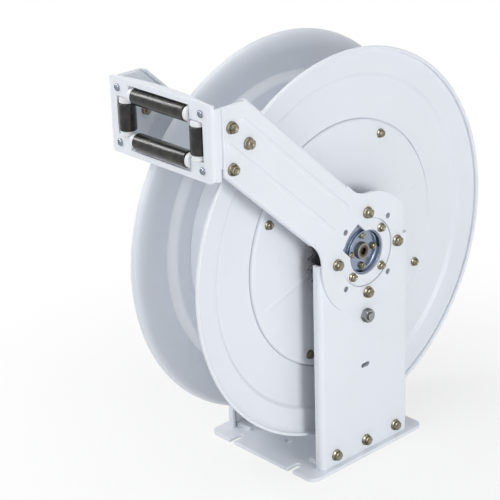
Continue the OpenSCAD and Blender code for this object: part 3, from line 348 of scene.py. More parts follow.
def boolean(tree, kind, parts, whole=None):
    """What the parts share, or the whole less its parts."""
    node = add(tree, "GeometryNodeMeshBoolean", {"operation": kind, "solver": "EXACT"},
               {"Mesh 1": whole} if whole else None)
    for part in parts:
        tree.links.new(part, node.inputs["Mesh 2"])
    return node.outputs["Mesh"]


def joined(tree, *parts):
    node = add(tree, "GeometryNodeJoinGeometry")
    for part in parts:
        tree.links.new(part, node.inputs[0])
    return node.outputs[0]


def crease_lift(tree, given, angle, radius, height):
    """How far soft ridges along the radii lift the skin above a given height."""
    pitch = calc(tree, "DIVIDE", 2 * pi, given["Crease Count"])
    off = calc(tree, "SUBTRACT", angle, given["Crease First"])
    folded = calc(tree, "PINGPONG", off, calc(tree, "MULTIPLY", pitch, 0.5))
    lift = spread(tree, calc(tree, "MULTIPLY", folded, radius), 0.0, given["Crease Height"],
                  given["Crease Half Width"], 0.0, "SMOOTHERSTEP")
    start, end, run_out = given["Crease Start"], given["Crease End"], 12 * MM
    past_start = calc(tree, "ADD", start, run_out)
    before_end = calc(tree, "SUBTRACT", end, run_out)
    for part in (spread(tree, radius, 0.0, 1.0, start, past_start, "SMOOTHSTEP"),
                 spread(tree, radius, 0.0, 1.0, end, before_end, "SMOOTHSTEP"),
                 calc(tree, "GREATER_THAN", height, given["Crease Above"])):
        lift = calc(tree, "MULTIPLY", lift, part)
    return lift


def turned_tree():
    """Turns a section round an axis: the seed's vertices are its corners, X outwards, Z along."""
    tree, given = new_tree("Turned piece", [
        ("Steps", "Int", 128), ("Turn", "Vector", (0, 0, 0)), ("Place", "Vector", (0, 0, 0)),
        ("Crease Count", "Int", 0), ("Crease First", "Float", 0.0), ("Crease Height", "Float", 0.0),
        ("Crease Start", "Float", 0.1), ("Crease End", "Float", 0.2),
        ("Crease Half Width", "Float", 0.005), ("Crease Above", "Float", 0.0),
        ("Finish", "Material", None)])
    section = given["Geometry"]
    corners = add(tree, "GeometryNodeAttributeDomainSize", links={
        "Geometry": section}).outputs["Point Count"]
    grid = add(tree, "GeometryNodeMeshGrid", links={
        "Vertices X": calc(tree, "ADD", given["Steps"], 1.0), "Vertices Y": corners})
    # the grid's columns run round the axis, and its rows along the section
    index = add(tree, "GeometryNodeInputIndex").outputs[0]
    column = calc(tree, "FLOOR", calc(tree, "DIVIDE", index, corners))
    angle = calc(tree, "MULTIPLY", calc(tree, "DIVIDE", column, given["Steps"]), 2 * pi)
    place = add(tree, "GeometryNodeInputPosition")
    corner = add(tree, "GeometryNodeSampleIndex", {"data_type": "FLOAT_VECTOR", "domain": "POINT"}, {
        "Geometry": section, "Value": place.outputs[0],
        "Index": calc(tree, "MODULO", index, corners)})
    split = add(tree, "ShaderNodeSeparateXYZ", links={0: corner.outputs[0]}).outputs
    radius, height = split["X"], split["Z"]
    lift = crease_lift(tree, given, angle, radius, height)
    point = vector(tree, calc(tree, "MULTIPLY", radius, calc(tree, "COSINE", angle)),
                   calc(tree, "MULTIPLY", radius, calc(tree, "SINE", angle)),
                   calc(tree, "ADD", height, lift))
    shaped = add(tree, "GeometryNodeSetPosition", links={
        "Geometry": grid.outputs["Mesh"], "Position": point})
    merged = add(tree, "GeometryNodeMergeByDistance", links={
        "Geometry": shaped.outputs[0], "Distance": 2e-6})
    set_up = add(tree, "GeometryNodeTransform", links={
        "Geometry": merged.outputs[0], "Translation": given["Place"], "Rotation": given["Turn"]})
    return close_tree(tree, set_up.outputs[0], given["Finish"])


def placed_tree(tree, given, geometry):
    """Ends a tree with the geometry on every point, turned to the point's facing."""
    facing = add(tree, "GeometryNodeInputNamedAttribute", {"data_type": "FLOAT_VECTOR"}, {
        "Name": "facing"})
    spin = add(tree, "GeometryNodeInputNamedAttribute", {"data_type": "FLOAT"}, {"Name": "spin"})
    upright = add(tree, "FunctionNodeAlignRotationToVector", {"axis": "Z"}, {
        "Vector": facing.outputs["Attribute"]})
    turned_to = add(tree, "FunctionNodeRotateRotation", {"rotation_space": "LOCAL"}, {
        "Rotation": upright.outputs[0], "Rotate By": vector(tree, z=spin.outputs["Attribute"])})
    on_points = add(tree, "GeometryNodeInstanceOnPoints", links={
        "Points": given["Geometry"], "Instance": geometry, "Rotation": turned_to.outputs[0]})
    return close_tree(tree, on_points.outputs[0], given["Finish"])


def bolt_tree():
    """A flange bolt on every point of the seed, its axis along the point's facing."""
    tree, given = new_tree("Flange bolts", [
        ("Key Width", "Float", 0.013), ("Flange Radius", "Float", 0.0089),
        ("Head Height", "Float", 0.008), ("Cup Depth", "Float", 0.0007),
        ("Shank Radius", "Float", 0.004), ("Shank Length", "Float", 0.02),
        ("Thread Pitch", "Float", 0.00125), ("Thread Length", "Float", 0.012),
        ("Finish", "Material", None)])
    key, high, flange = given["Key Width"], given["Head Height"], given["Flange Radius"]
    radius, length, cup = given["Shank Radius"], given["Shank Length"], given["Cup Depth"]
    thread, pitch = given["Thread Length"], given["Thread Pitch"]

    def times(socket, factor):
        return calc(tree, "MULTIPLY", socket, factor)

    # a hexagon with its corners cut by a cone, and a cup pressed into its top
    block = along(tree, cylinder(tree, 6, times(key, 1 / sqrt(3)), high), times(high, 0.5))
    wide = calc(tree, "ADD", times(key, 0.47), times(high, 1.7))
    head = boolean(tree, "INTERSECT", [block, cone(tree, 48, wide, times(key, 0.47), high)])
    hollow = cone(tree, 48, times(key, 0.26), times(key, 0.46), times(cup, 2.0))
    hollow = along(tree, hollow, calc(tree, "SUBTRACT", high, cup))
    cupped = boolean(tree, "DIFFERENCE", [hollow], head)
    # a flange with a sloped top
    rim = along(tree, cylinder(tree, 48, flange, times(high, 0.2)), times(high, 0.1))
    slope = cone(tree, 48, times(flange, 0.985), times(key, 0.5), times(high, 0.2))
    slope = along(tree, slope, times(high, 0.2))
    # a shank with a plain neck and a wound thread
    shank = along(tree, cylinder(tree, 32, times(radius, 0.9), length), times(length, -0.5))
    plain = calc(tree, "SUBTRACT", length, thread)
    neck = along(tree, cylinder(tree, 32, radius, plain), times(plain, -0.5))
    line = add(tree, "GeometryNodeCurveSpiral", links={
        "Resolution": 20, "Rotations": calc(tree, "DIVIDE", thread, pitch),
        "Start Radius": times(radius, 0.88), "End Radius": times(radius, 0.88),
        "Height": times(thread, 0.97)})
    tooth = add(tree, "GeometryNodeCurvePrimitiveCircle", links={
        "Resolution": 3, "Radius": times(pitch, 0.38)})
    ridge = add(tree, "GeometryNodeCurveToMesh", links={
        "Curve": line.outputs["Curve"], "Profile Curve": tooth.outputs["Curve"], "Fill Caps": True})
    ridge = along(tree, ridge.outputs["Mesh"], times(length, -0.995))
    return placed_tree(tree, given, joined(tree, cupped, rim, slope, shank, neck, ridge))


def nut_tree():
    """A hexagon nut on every point of the seed, with its outer face at the point."""
    tree, given = new_tree("Nuts", [
        ("Key Width", "Float", 0.013), ("Height", "Float", 0.0065),
        ("Flange Radius", "Float", 0.0), ("Flange Height", "Float", 0.0016),
        ("Finish", "Material", None)])
    key, high, thick = given["Key Width"], given["Height"], given["Flange Height"]
    small = calc(tree, "MULTIPLY", key, 0.475)
    large = calc(tree, "MULTIPLY_ADD", high, 1.7, small)
    block = cylinder(tree, 6, calc(tree, "MULTIPLY", key, 1 / sqrt(3)), high)
    block = along(tree, block, calc(tree, "MULTIPLY", high, 0.5))
    low_cap = cone(tree, 48, large, small, high)
    high_cap = add(tree, "GeometryNodeTransform", links={
        "Geometry": low_cap, "Rotation": (pi, 0, 0), "Translation": vector(tree, z=high)})
    head = boolean(tree, "INTERSECT", [block, low_cap, high_cap.outputs[0]])
    collar = along(tree, cylinder(tree, 48, given["Flange Radius"], thick),
                   calc(tree, "MULTIPLY_ADD", thick, -0.5, high))
    dropped = along(tree, joined(tree, head, collar), calc(tree, "MULTIPLY", high, -1.0))
    return placed_tree(tree, given, dropped)


def rivet_tree():
    """A dome rivet with its peened back on every point of the seed."""
    tree, given = new_tree("Dome rivets", [
        ("Dome Radius", "Float", 0.0054), ("Dome Height", "Float", 0.0034),
        ("Shank Radius", "Float", 0.0025), ("Grip", "Float", 0.013), ("Finish", "Material", None)])
    wide, grip = given["Dome Radius"], given["Grip"]
    ball = add(tree, "GeometryNodeMeshUVSphere", links={"Segments": 32, "Rings": 20, "Radius": 1.0})
    squeezed = add(tree, "GeometryNodeTransform", links={
        "Geometry": ball.outputs["Mesh"], "Scale": vector(tree, wide, wide, given["Dome Height"])})
    place = add(tree, "GeometryNodeInputPosition")
    split = add(tree, "ShaderNodeSeparateXYZ", links={0: place.outputs[0]}).outputs
    flat = vector(tree, split["X"], split["Y"], calc(tree, "MAXIMUM", split["Z"], 0.0))
    dome = add(tree, "GeometryNodeSetPosition", links={
        "Geometry": squeezed.outputs[0], "Position": flat})
    shank = along(tree, cylinder(tree, 24, given["Shank Radius"], grip),
                  calc(tree, "MULTIPLY", grip, -0.5))
    back = along(tree, cone(tree, 24, 3.4 * MM, 4 * MM, 1.3 * MM), calc(tree, "MULTIPLY", grip, -1.0))
    return placed_tree(tree, given, joined(tree, dome.outputs[0], shank, back))


def weld_tree():
    """A rippled weld bead along the seed's line: flattened beads that overlap like scales."""
    tree, given = new_tree("Weld beads", [
        ("Leg", "Float", 0.003), ("Ripple", "Float", 0.002), ("Finish", "Material", None)])
    line = add(tree, "GeometryNodeMeshToCurve", links={"Mesh": given["Geometry"]})
    spots = add(tree, "GeometryNodeCurveToPoints", {"mode": "LENGTH"}, {
        "Curve": line.outputs["Curve"], "Length": given["Ripple"]})
    ball = add(tree, "GeometryNodeMeshIcoSphere", links={"Radius": given["Leg"], "Subdivisions": 3})
    size = add(tree, "FunctionNodeRandomValue", {"data_type": "FLOAT"}, {
        "Min": 0.9, "Max": 1.08, "Seed": 7})
    beads = add(tree, "GeometryNodeInstanceOnPoints", links={
        "Points": spots.outputs["Points"], "Instance": ball.outputs["Mesh"],
        "Rotation": spots.outputs["Rotation"],
        "Scale": vector(tree, size.outputs["Value"], size.outputs["Value"], 0.6)})
    return close_tree(tree, beads.outputs[0], given["Finish"])


def points_mesh(name, places):
    """A seed of bare points; each place is [position, facing, spin in degrees]."""
    mesh = bpy.data.meshes.new(name)
    mesh.from_pydata([tuple(p) for p, _, _ in places], [], [])
    facing = mesh.attributes.new("facing", "FLOAT_VECTOR", "POINT")
    facing.data.foreach_set("vector", [c for _, f, _ in places for c in f])
    spin = mesh.attributes.new("spin", "FLOAT", "POINT")
    spin.data.foreach_set("value", [radians(s) for _, _, s in places])
    return mesh


def section_mesh(name, corners):
    mesh = bpy.data.meshes.new(name)
    mesh.from_pydata([(r, 0, h) for r, h in corners], [], [])
    return mesh


def turned(name, corners, look, turn=(pi / 2, 0, 0), place=None, steps=128, sharp=38, **crease):
    """The mesh of a section turned round the axle, or round another line given by turn and place."""
    values = {"Steps": steps, "Turn": turn, "Place": place or (0, 0, AXLE_Z), "Finish": finish(look)}
    seed = section_mesh(name, corners + corners[:1])
    return grown(name, once(turned_tree), seed, {**values, **crease}, sharp)


# ---- finishes ----

def shader(name, base, roughness, metallic=0.0, **more):
    """A material with one Principled shader: its tree, that shader, and Object coordinates."""
    material = bpy.data.materials.new(name)
    material.use_nodes = True
    tree = material.node_tree
    tree.nodes.clear()
    skin = add(tree, "ShaderNodeBsdfPrincipled", links={
        "Base Color": base, "Roughness": roughness, "Metallic": metallic, **more})
    add(tree, "ShaderNodeOutputMaterial", links={"Surface": skin.outputs[0]})
    where = add(tree, "ShaderNodeTexCoord").outputs["Object"]
    return material, tree, skin, where


def noise(tree, where, size, detail, distortion=0.0):
    """Cloudy values from 0 to 1, the given size from one cloud to the next."""
    return add(tree, "ShaderNodeTexNoise", links={
        "Vector": where, "Scale": 1 / size, "Detail": detail, "Distortion": distortion}).outputs["Fac"]


def ring_lines(tree, where, spacing):
    """Fine turning lines round the axle, the given distance apart."""
    centred = add(tree, "ShaderNodeMapping", links={"Vector": where, "Location": (0, 0, -AXLE_Z)})
    # at scale 1 the rings of a wave texture lie 2 pi / 20 apart
    return add(tree, "ShaderNodeTexWave", {"wave_type": "RINGS", "rings_direction": "Y"}, {
        "Vector": centred.outputs[0], "Scale": 2 * pi / 20 / spacing, "Distortion": 0.4,
        "Detail": 2.0, "Detail Scale": 1.5}).outputs["Fac"]


def darker(tone, share):
    return tuple(c * share for c in tone[:3]) + (1.0,)


def tinted(tree, skin, value, *stops):
    """Colours the skin along a value by stops of [place, colour], the two end stops first."""
    ramp = add(tree, "ShaderNodeValToRGB", links={"Fac": value})
    elements = ramp.color_ramp.elements
    for i, (place, tone) in enumerate(stops):
        stop = elements[i] if i < 2 else elements.new(place)
        stop.position, stop.color = place, tone
    tree.links.new(ramp.outputs["Color"], skin.inputs["Base Color"])


def roughened(tree, skin, value, low, high, start=0.0, end=1.0):
    """Lets the skin's roughness follow a value, from low to high."""
    tree.links.new(spread(tree, value, low, high, start, end), skin.inputs["Roughness"])


def bumped(tree, skin, value, strength, depth):
    """Lets the skin's relief follow a value, to a real depth."""
    bump = add(tree, "ShaderNodeBump", links={"Height": value, "Strength": strength, "Distance": depth})
    tree.links.new(bump.outputs[0], skin.inputs["Normal"])


def powder_coat(colours):
    """White polyester powder coat, sprayed and baked: satin, with a faint orange peel."""
    white = colours.powder_coat
    material, tree, skin, where = shader("powder_coat_white", white, 0.34, **{
        "Coat Weight": 0.15, "Coat Roughness": 0.2})
    # the film runs a little thicker and thinner over a hand's width
    film = noise(tree, where, 110 * MM, 2.0)
    tinted(tree, skin, film, (0.0, darker(white, 0.945)), (1.0, white))
    roughened(tree, skin, film, 0.3, 0.42, 0.3, 0.7)
    # orange peel is about 1.5 mm from hill to hill, drawn at 4 mm so that it shows
    bumped(tree, skin, noise(tree, where, 4 * MM, 1.0), 0.16, 0.12 * MM)
    return material


def yellow_zinc(colours):
    """Zinc plate with yellow chromate: pale straw that drifts to olive and rose on each head."""
    # the dark Specular Tint is painted shade: it darkens the heads' edges at grazing angles, in place of
    # dark reflections
    material, tree, skin, where = shader("yellow_chromate_zinc", colours.zinc_straw, 0.3, 1.0, **{
        "Specular Tint": linear("4A483C")})
    # the chromate's tint changes over some 4 mm
    drift = noise(tree, where, 4 * MM, 2.0, 0.6)
    tinted(tree, skin, drift, (0.3, colours.zinc_olive), (0.72, colours.zinc_rose),
           (0.5, colours.zinc_straw))
    grain = noise(tree, where, 1.6 * MM, 3.0)
    roughened(tree, skin, grain, 0.2, 0.42)
    bumped(tree, skin, grain, 0.2, 0.05 * MM)
    return material


def blue_zinc(colours):
    """Spun steel cup in clear-chromate zinc: bluish, bright, with fine turning lines."""
    # the dark Specular Tint is painted shade: it darkens the cup at grazing angles, in place of dark
    # reflections
    material, tree, skin, where = shader("clear_chromate_zinc", colours.zinc_blue, 0.2, 1.0, **{
        "Specular Tint": linear("4B5361")})
    lines = ring_lines(tree, where, 1.6 * MM)
    roughened(tree, skin, lines, 0.13, 0.28)
    bumped(tree, skin, lines, 0.25, 0.03 * MM)
    return material


def metal(colours, name, base, low, high, grain_size, depth, tint=0.85):
    """A plain metal whose tone drifts over 20 mm, and whose roughness varies with its grain."""
    # the dark Specular Tint is painted shade at grazing angles, in place of dark reflections
    material, tree, skin, where = shader(name, base, (low + high) / 2, 1.0, **{
        "Specular Tint": colours.metal_edge_shade})
    tinted(tree, skin, noise(tree, where, 20 * MM, 2.0), (0.3, darker(base, tint)), (0.65, base))
    grain = noise(tree, where, grain_size, 4.0)
    roughened(tree, skin, grain, low, high)
    bumped(tree, skin, grain, 0.4, depth)
    return material


def bright_steel(colours):
    """Turned and ground steel: near white with a soft grain."""
    return metal(colours, "bright_steel", colours.steel, 0.18, 0.34, 1.2 * MM, 0.02 * MM)


def nickel(colours):
    """Nickel-plated rivets: almost mirrors, bluish."""
    return metal(colours, "nickel_plate", colours.nickel, 0.08, 0.18, 3 * MM, 0.02 * MM)


def bright_zinc(colours):
    """Bright zinc-plated nut: silvery, with a clear highlight."""
    return metal(colours, "bright_zinc_plate", colours.zinc_bright, 0.1, 0.22, 4 * MM, 0.02 * MM, 0.7)


def axle_steel(colours):
    """Turned axle: lighter towards the edge of its end, and darker and browner in the middle."""
    # the dark Specular Tint is painted shade at grazing angles, in place of dark reflections
    material, tree, skin, where = shader("turned_axle_steel", colours.axle, 0.34, 1.0, **{
        "Specular Tint": colours.metal_edge_shade})
    centred = add(tree, "ShaderNodeMapping", links={
        "Vector": where, "Location": (0, 0, -AXLE_Z), "Scale": (1, 0, 1)})
    away = add(tree, "ShaderNodeVectorMath", {"operation": "LENGTH"}, {0: centred.outputs[0]})
    # darker and browner up to 8 mm from the axis, turning lighter over 2 mm more
    edge_share = spread(tree, away.outputs["Value"], 0.0, 1.0, 8 * MM, 10 * MM)
    tinted(tree, skin, edge_share, (0.0, colours.axle_middle_tone), (1.0, colours.axle))
    lines = ring_lines(tree, where, 1.2 * MM)
    roughened(tree, skin, lines, 0.26, 0.46)
    bumped(tree, skin, lines, 0.3, 0.04 * MM)
    return material


def spring_steel(colours):
    """Oil-tempered spring strip and wire: dark blue grey, smooth."""
    return metal(colours, "tempered_spring_steel", colours.spring, 0.22, 0.36, 1.5 * MM, 0.02 * MM, 0.8)


def cast_iron(colours):
    """Sand-cast iron in its machined state: matt grey with a sandy skin of 1 mm grains."""
    return metal(colours, "machined_cast_iron", colours.iron, 0.42, 0.62, 1.1 * MM, 0.12 * MM, 0.8)


def brass(colours):
    """Machined brass fitting, slightly dulled by water."""
    return metal(colours, "brass", colours.brass, 0.22, 0.4, 1.5 * MM, 0.03 * MM, 0.78)


def bronze(colours):
    """Oil-soaked sintered bronze: brown, with open pores of half a millimetre."""
    return metal(colours, "sintered_bronze", colours.bronze, 0.35, 0.5, 0.6 * MM, 0.05 * MM, 0.8)


def black_nylon(colours):
    """Cast nylon roller: near black, satin, dusty in clouds, with fine turning marks."""
    material, tree, skin, where = shader("black_nylon", colours.nylon_black, 0.22, **{
        "Specular IOR Level": 0.42})
    dust = noise(tree, where, 12 * MM, 5.0)
    tinted(tree, skin, dust, (0.42, colours.nylon_black), (0.85, colours.nylon_dust))
    roughened(tree, skin, dust, 0.12, 0.34)
    # the lathe's feed is 0.4 mm a turn, drawn at 1.5 mm so that it shows
    bumped(tree, skin, noise(tree, where, 1.5 * MM, 1.0), 0.2, 0.04 * MM)
    return material


def white_nylon(colours):
    """Moulded white nylon: a little see-through at the edges, with a fine spark texture."""
    material, tree, skin, where = shader("moulded_white_nylon", colours.nylon_white, 0.42, **{
        "Subsurface Weight": 0.12, "Subsurface Scale": 2 * MM})
    spark = noise(tree, where, 1.4 * MM, 2.0)
    roughened(tree, skin, spark, 0.36, 0.5)
    bumped(tree, skin, spark, 0.25, 0.05 * MM)
    return material


def seal_rubber(colours):
    """Nitrile rubber ring: matt black with a greased bloom."""
    material, tree, skin, where = shader("nitrile_rubber", colours.rubber, 0.6)
    roughened(tree, skin, noise(tree, where, 4 * MM, 3.0), 0.45, 0.75)
    return material


# ---- operators ----

class REEL_OT_base(bpy.types.Operator):
    """Base plate and welded foot angles"""
    bl_idname = "reel.base"
    bl_label = "Base and foot angles"

    def execute(self, context):
        sizes = context.scene.reel_sizes
        soft_piece("base_plate", powder_coat, 0.9 * MM, 3)
        # a fillet weld along the inner leg and up each end of both angles
        places, lines = [], []
        for side in ("near", "far"):
            node = side + "_foot_angle"
            soft_piece(node, powder_coat, sizes.sheet_edge)
            low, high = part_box(node)
            inner, outer = (high.y, low.y) if side == "near" else (low.y, high.y)
            from_y, to_y = outer + (inner - outer) * 0.2, outer + (inner - outer) * 0.9
            z, margin = low.z + 0.4 * MM, 10 * MM
            runs = [((low.x + margin, inner, z), (high.x - margin, inner, z))]
            runs += [((x, from_y, z), (x, to_y, z)) for x in (low.x, high.x)]
            for run in runs:
                lines.append((len(places), len(places) + 1))
                places += run
        seed = bpy.data.meshes.new("weld lines")
        seed.from_pydata(places, lines, [])
        mesh = grown("foot_welds", once(weld_tree), seed, {
            "Leg": sizes.weld_size, "Ripple": sizes.weld_ripple, "Finish": finish(powder_coat)}, 80)
        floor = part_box("near_foot_angle")[0].z - 0.2 * MM
        for vertex in mesh.vertices:
            vertex.co.z = max(vertex.co.z, floor)
        piece("foot_welds", mesh, "frame")
        return {"FINISHED"}


class REEL_OT_pedestals(bpy.types.Operator):
    """Both pedestals, cut and bent from sheet"""
    bl_idname = "reel.pedestals"
    bl_label = "Pedestals"

    def execute(self, context):
        edge = context.scene.reel_sizes.sheet_edge
        for node in ("near_pedestal", "far_pedestal"):
            soft_piece(node, powder_coat, edge)
        return {"FINISHED"}


class REEL_OT_bearings(bpy.types.Operator):
    """Bearing plates, bearing cups, collars, pins and washers"""
    bl_idname = "reel.bearings"
    bl_label = "Bearings"

    def execute(self, context):
        sizes = context.scene.reel_sizes
        for side in ("near", "far"):
            soft_piece(side + "_bearing_plate", powder_coat, 0.5 * MM)
            soft_piece(side + "_bearing_cup", blue_zinc, 0.5 * MM)
        soft_piece("axle_collars", bright_steel, sizes.cast_edge)
        soft_piece("collar_pins", bright_steel, 0.2 * MM)
        soft_piece("thrust_washers", bronze, 0.2 * MM)
        soft_piece("axle_bushes", bronze, 0.3 * MM)
        return {"FINISHED"}


class REEL_OT_axle(bpy.types.Operator):
    """Fixed axle with its hex socket"""
    bl_idname = "reel.axle"
    bl_label = "Axle"

    def execute(self, context):
        soft_piece("axle_shaft", axle_steel, 0.5 * MM)
        soft_piece("spring_arbor", cast_iron, 0.5 * MM)
        return {"FINISHED"}


class REEL_OT_guide_arms(bpy.types.Operator):
    """Both guide arms with their bent edges and pressed beads"""
    bl_idname = "reel.guide_arms"
    bl_label = "Guide arms"

    def execute(self, context):
        edge = context.scene.reel_sizes.sheet_edge
        for node in ("near_guide_arm", "far_guide_arm"):
            soft_piece(node, powder_coat, edge)
        return {"FINISHED"}


class REEL_OT_guide_head(bpy.types.Operator):
    """Guide head, corner blocks and roller pins"""
    bl_idname = "reel.guide_head"
    bl_label = "Guide head"

    def execute(self, context):
        sizes = context.scene.reel_sizes
        soft_piece("guide_head", powder_coat, sizes.sheet_edge)
        soft_piece("corner_blocks", white_nylon, sizes.cast_edge)
        soft_piece("roller_pins", bright_steel, 0.4 * MM)
        return {"FINISHED"}


class REEL_OT_rollers(bpy.types.Operator):
    """Four turned rollers of the guide head"""
    bl_idname = "reel.rollers"
    bl_label = "Rollers"

    def execute(self, context):
        for node in ("top_roller", "bottom_roller", "near_roller", "far_roller"):
            low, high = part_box(node)
            size, middle = high - low, (low + high) / 2
            along_y = size.y > size.x * 1.1
            half = (size.y if along_y else size.z) / 2
            radius = size.x / 2
            bore, round_end = 4.2 * MM, 1.5 * MM
            corners = [(bore, -half + 0.6 * MM), (bore + 0.6 * MM, -half)]
            corners += arc((radius - round_end, -half + round_end), round_end, -90, 0, 8)
            corners += [(radius, -half * 0.33), (radius, half * 0.33)]
            corners += arc((radius - round_end, half - round_end), round_end, 0, 90, 8)
            corners += [(bore + 0.6 * MM, half), (bore, half - 0.6 * MM)]
            mesh = turned(node + "_turned", corners, black_nylon,
                          (pi / 2, 0, 0) if along_y else (0, 0, 0), tuple(middle), 96)
            piece(node + "_turned", mesh, frame["nodes"][node]["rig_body"], [node])
        return {"FINISHED"}


def disc_section(skin, lip_w=13 * MM, sheet=2.5 * MM, bead=2.8 * MM):
    """Closed section of a disc: its outer skin, turned lip, rolled bead and inner skin."""
    band = skin[-1][1]
    centre = (DISC_R - bead, RIM_H - bead)
    bead_a = asin(sheet / 2 / bead) * 180 / pi
    end = tuple(Vector(centre) + Vector(polar(bead, 270 - bead_a)))
    lip = [(DISC_R - lip_w + (end[0] - DISC_R + lip_w) * sin(radians(5 * i)),
            band + (end[1] - band) * (1 - cos(radians(5 * i)))) for i in range(19)]
    whole = skin + lip
    inner = []
    for i, point in enumerate(whole):
        ahead = Vector(whole[min(i + 1, len(whole) - 1)]) - Vector(whole[max(i - 1, 0)])
        ahead.normalize()
        inner.append((point[0] + sheet * ahead.y, point[1] - sheet * ahead.x))
    # the bead rolls on for three quarters of a turn
    return whole + arc(centre, bead, 270 - bead_a - 20, bead_a - 70, 24) + inner[::-1]


def eased(r0, h0, r1, h1, count=16):
    """A soft step in a section, from one place to another."""
    return [(r0 + (r1 - r0) * i / count, h0 + (h1 - h0) * (1 - cos(pi * i / count)) / 2)
            for i in range(count + 1)]


class REEL_OT_discs(bpy.types.Operator):
    """Both spun discs with their turned lips and rolled edges"""
    bl_idname = "reel.discs"
    bl_label = "Discs"

    def execute(self, context):
        steps = context.scene.reel_sizes.round_steps
        # the near disc's web starts at the spring cover, the far disc's at its hub
        web, cover_r = BAND_H - 4.5 * MM, 192 * MM
        near = [(cover_r, web)] + eased(253 * MM, web, 261 * MM, BAND_H)
        mesh = turned("near_disc_spun", disc_section(near), powder_coat, steps=steps, sharp=60)
        piece("near_disc_spun", mesh, "spool", ["near_disc"])
        dish, bore, middle = BAND_H - 12.5 * MM, 30.02 * MM, 120 * MM
        far = [(bore, dish), (middle, dish)] + eased(226 * MM, dish, 240 * MM, BAND_H)
        mesh = turned("far_disc_spun", disc_section(far), powder_coat,
                      turn=(-pi / 2, 0, 0), steps=steps, sharp=60)
        piece("far_disc_spun", mesh, "spool", ["far_disc"])
        return {"FINISHED"}


class REEL_OT_drum(bpy.types.Operator):
    """Rolled drum between the discs, and the divider inside it"""
    bl_idname = "reel.drum"
    bl_label = "Drum"

    def execute(self, context):
        soft_piece("drum", powder_coat, 0.5 * MM)
        soft_piece("drum_divider", powder_coat, 0.3 * MM)
        return {"FINISHED"}


class REEL_OT_spring_cover(bpy.types.Operator):
    """Pressed cover over the power spring, with a rounded edge and four creases"""
    bl_idname = "reel.spring_cover"
    bl_label = "Spring cover"

    def execute(self, context):
        sizes = context.scene.reel_sizes
        radius, bore, sheet, edge = 190.5 * MM, 41.02 * MM, 2.5 * MM, 6 * MM
        low, top, middle = -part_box("spring_cover")[1].y, BAND_H, 120 * MM
        corners = [(bore, top - sheet), (middle, top - sheet), (radius - edge, top - sheet),
                   (radius - sheet, top - edge), (radius - sheet, low), (radius, low)]
        corners += arc((radius - edge, top - edge), edge, 0, 90, 12)
        # rows every 3 mm carry the creases
        corners += [(r * MM, top) for r in range(180, 66, -3)] + [(bore, top)]
        mesh = turned("spring_cover_pressed", corners, powder_coat,
                      steps=sizes.round_steps * 4, sharp=60, **{
                          "Crease Count": 4, "Crease First": radians(18.5),
                          "Crease Height": sizes.crease_height, "Crease Start": 74 * MM,
                          "Crease End": 176 * MM, "Crease Half Width": 5 * MM,
                          "Crease Above": top - 0.5 * MM})
        piece("spring_cover_pressed", mesh, "spool", ["spring_cover"])
        soft_piece("cover_spacers", bright_steel, 0.3 * MM)
        return {"FINISHED"}


class REEL_OT_hubs(bpy.types.Operator):
    """Cast hubs of the spool"""
    bl_idname = "reel.hubs"
    bl_label = "Hubs"

    def execute(self, context):
        edge = context.scene.reel_sizes.cast_edge
        for node in ("near_hub", "far_hub"):
            soft_piece(node, cast_iron, edge)
        return {"FINISHED"}


class REEL_OT_ratchet(bpy.types.Operator):
    """Ratchet wheel, pawl, pawl stud and its nut"""
    bl_idname = "reel.ratchet"
    bl_label = "Ratchet"

    def execute(self, context):
        edge = context.scene.reel_sizes.cast_edge
        soft_piece("ratchet_wheel", cast_iron, 0.5 * edge)
        soft_piece("ratchet_pawl", bright_steel, edge)
        soft_piece("pawl_stud", bright_steel, 0.4 * MM)
        soft_piece("pawl_nut", bright_zinc, 0.4 * MM)
        soft_piece("spring_post", bright_steel, 0.3 * MM)
        return {"FINISHED"}


class REEL_OT_springs(bpy.types.Operator):
    """Power spring and pawl spring keep their wound shape and get their steel"""
    bl_idname = "reel.springs"
    bl_label = "Springs"

    def execute(self, context):
        for node in ("main_spring", "pawl_spring"):
            paint(frame["nodes"][node].data, finish(spring_steel))
        return {"FINISHED"}


class REEL_OT_water_way(bpy.types.Operator):
    """Inlet elbow, swivel, pipe and outlet"""
    bl_idname = "reel.water_way"
    bl_label = "Water way"

    def execute(self, context):
        edge = context.scene.reel_sizes.cast_edge
        for node in ("inlet_elbow", "swivel_manifold", "outlet_pipe", "outlet_fitting"):
            soft_piece(node, brass, edge)
        paint(frame["nodes"]["swivel_seals"].data, finish(seal_rubber))
        return {"FINISHED"}


def one_side(places, side=NEAR):
    """Seed points from places given as [x, y above the axle, height outwards, spin]."""
    return [(on_axle(x, y, h, side), (0, 1 if side else -1, 0), spin) for x, y, h, spin in places]


def both_sides(places):
    return one_side(places, NEAR) + one_side(places, FAR)


def circle(radius, angles, height):
    """Places on a circle round the axle, each turned by hand to another angle."""
    return [(*polar(radius, a), height, 17 * i + 11) for i, a in enumerate(angles)]


M8 = {"Key Width": 13 * MM, "Flange Radius": 8.9 * MM, "Head Height": 8 * MM, "Shank Radius": 4 * MM}
M6 = {"Key Width": 10 * MM, "Flange Radius": 7.1 * MM, "Head Height": 6 * MM,
      "Shank Radius": 3 * MM, "Thread Pitch": 1 * MM}
M6_SMALL = {**M6, "Key Width": 8.8 * MM, "Flange Radius": 5 * MM, "Head Height": 4.6 * MM}
QUARTERS, DIAGONALS, SIXTHS = (0, 90, 180, 270), (45, 135, 225, 315), range(0, 360, 60)
HUB_CIRCLE = (63.5 * MM, QUARTERS)
PLATE_CIRCLE = (43 * MM, (-135, -45, 45))
CUP_CIRCLE = (24 * MM, QUARTERS)
COVER_CIRCLE = (173 * MM, (63.5, 153.5, 243.5, 333.5))
SPOOL_HUB_CIRCLE = (56 * MM, DIAGONALS)
RATCHET_CIRCLE = (37.6 * MM, SIXTHS)
ARM_OUT = PED_OUT + 4 * MM
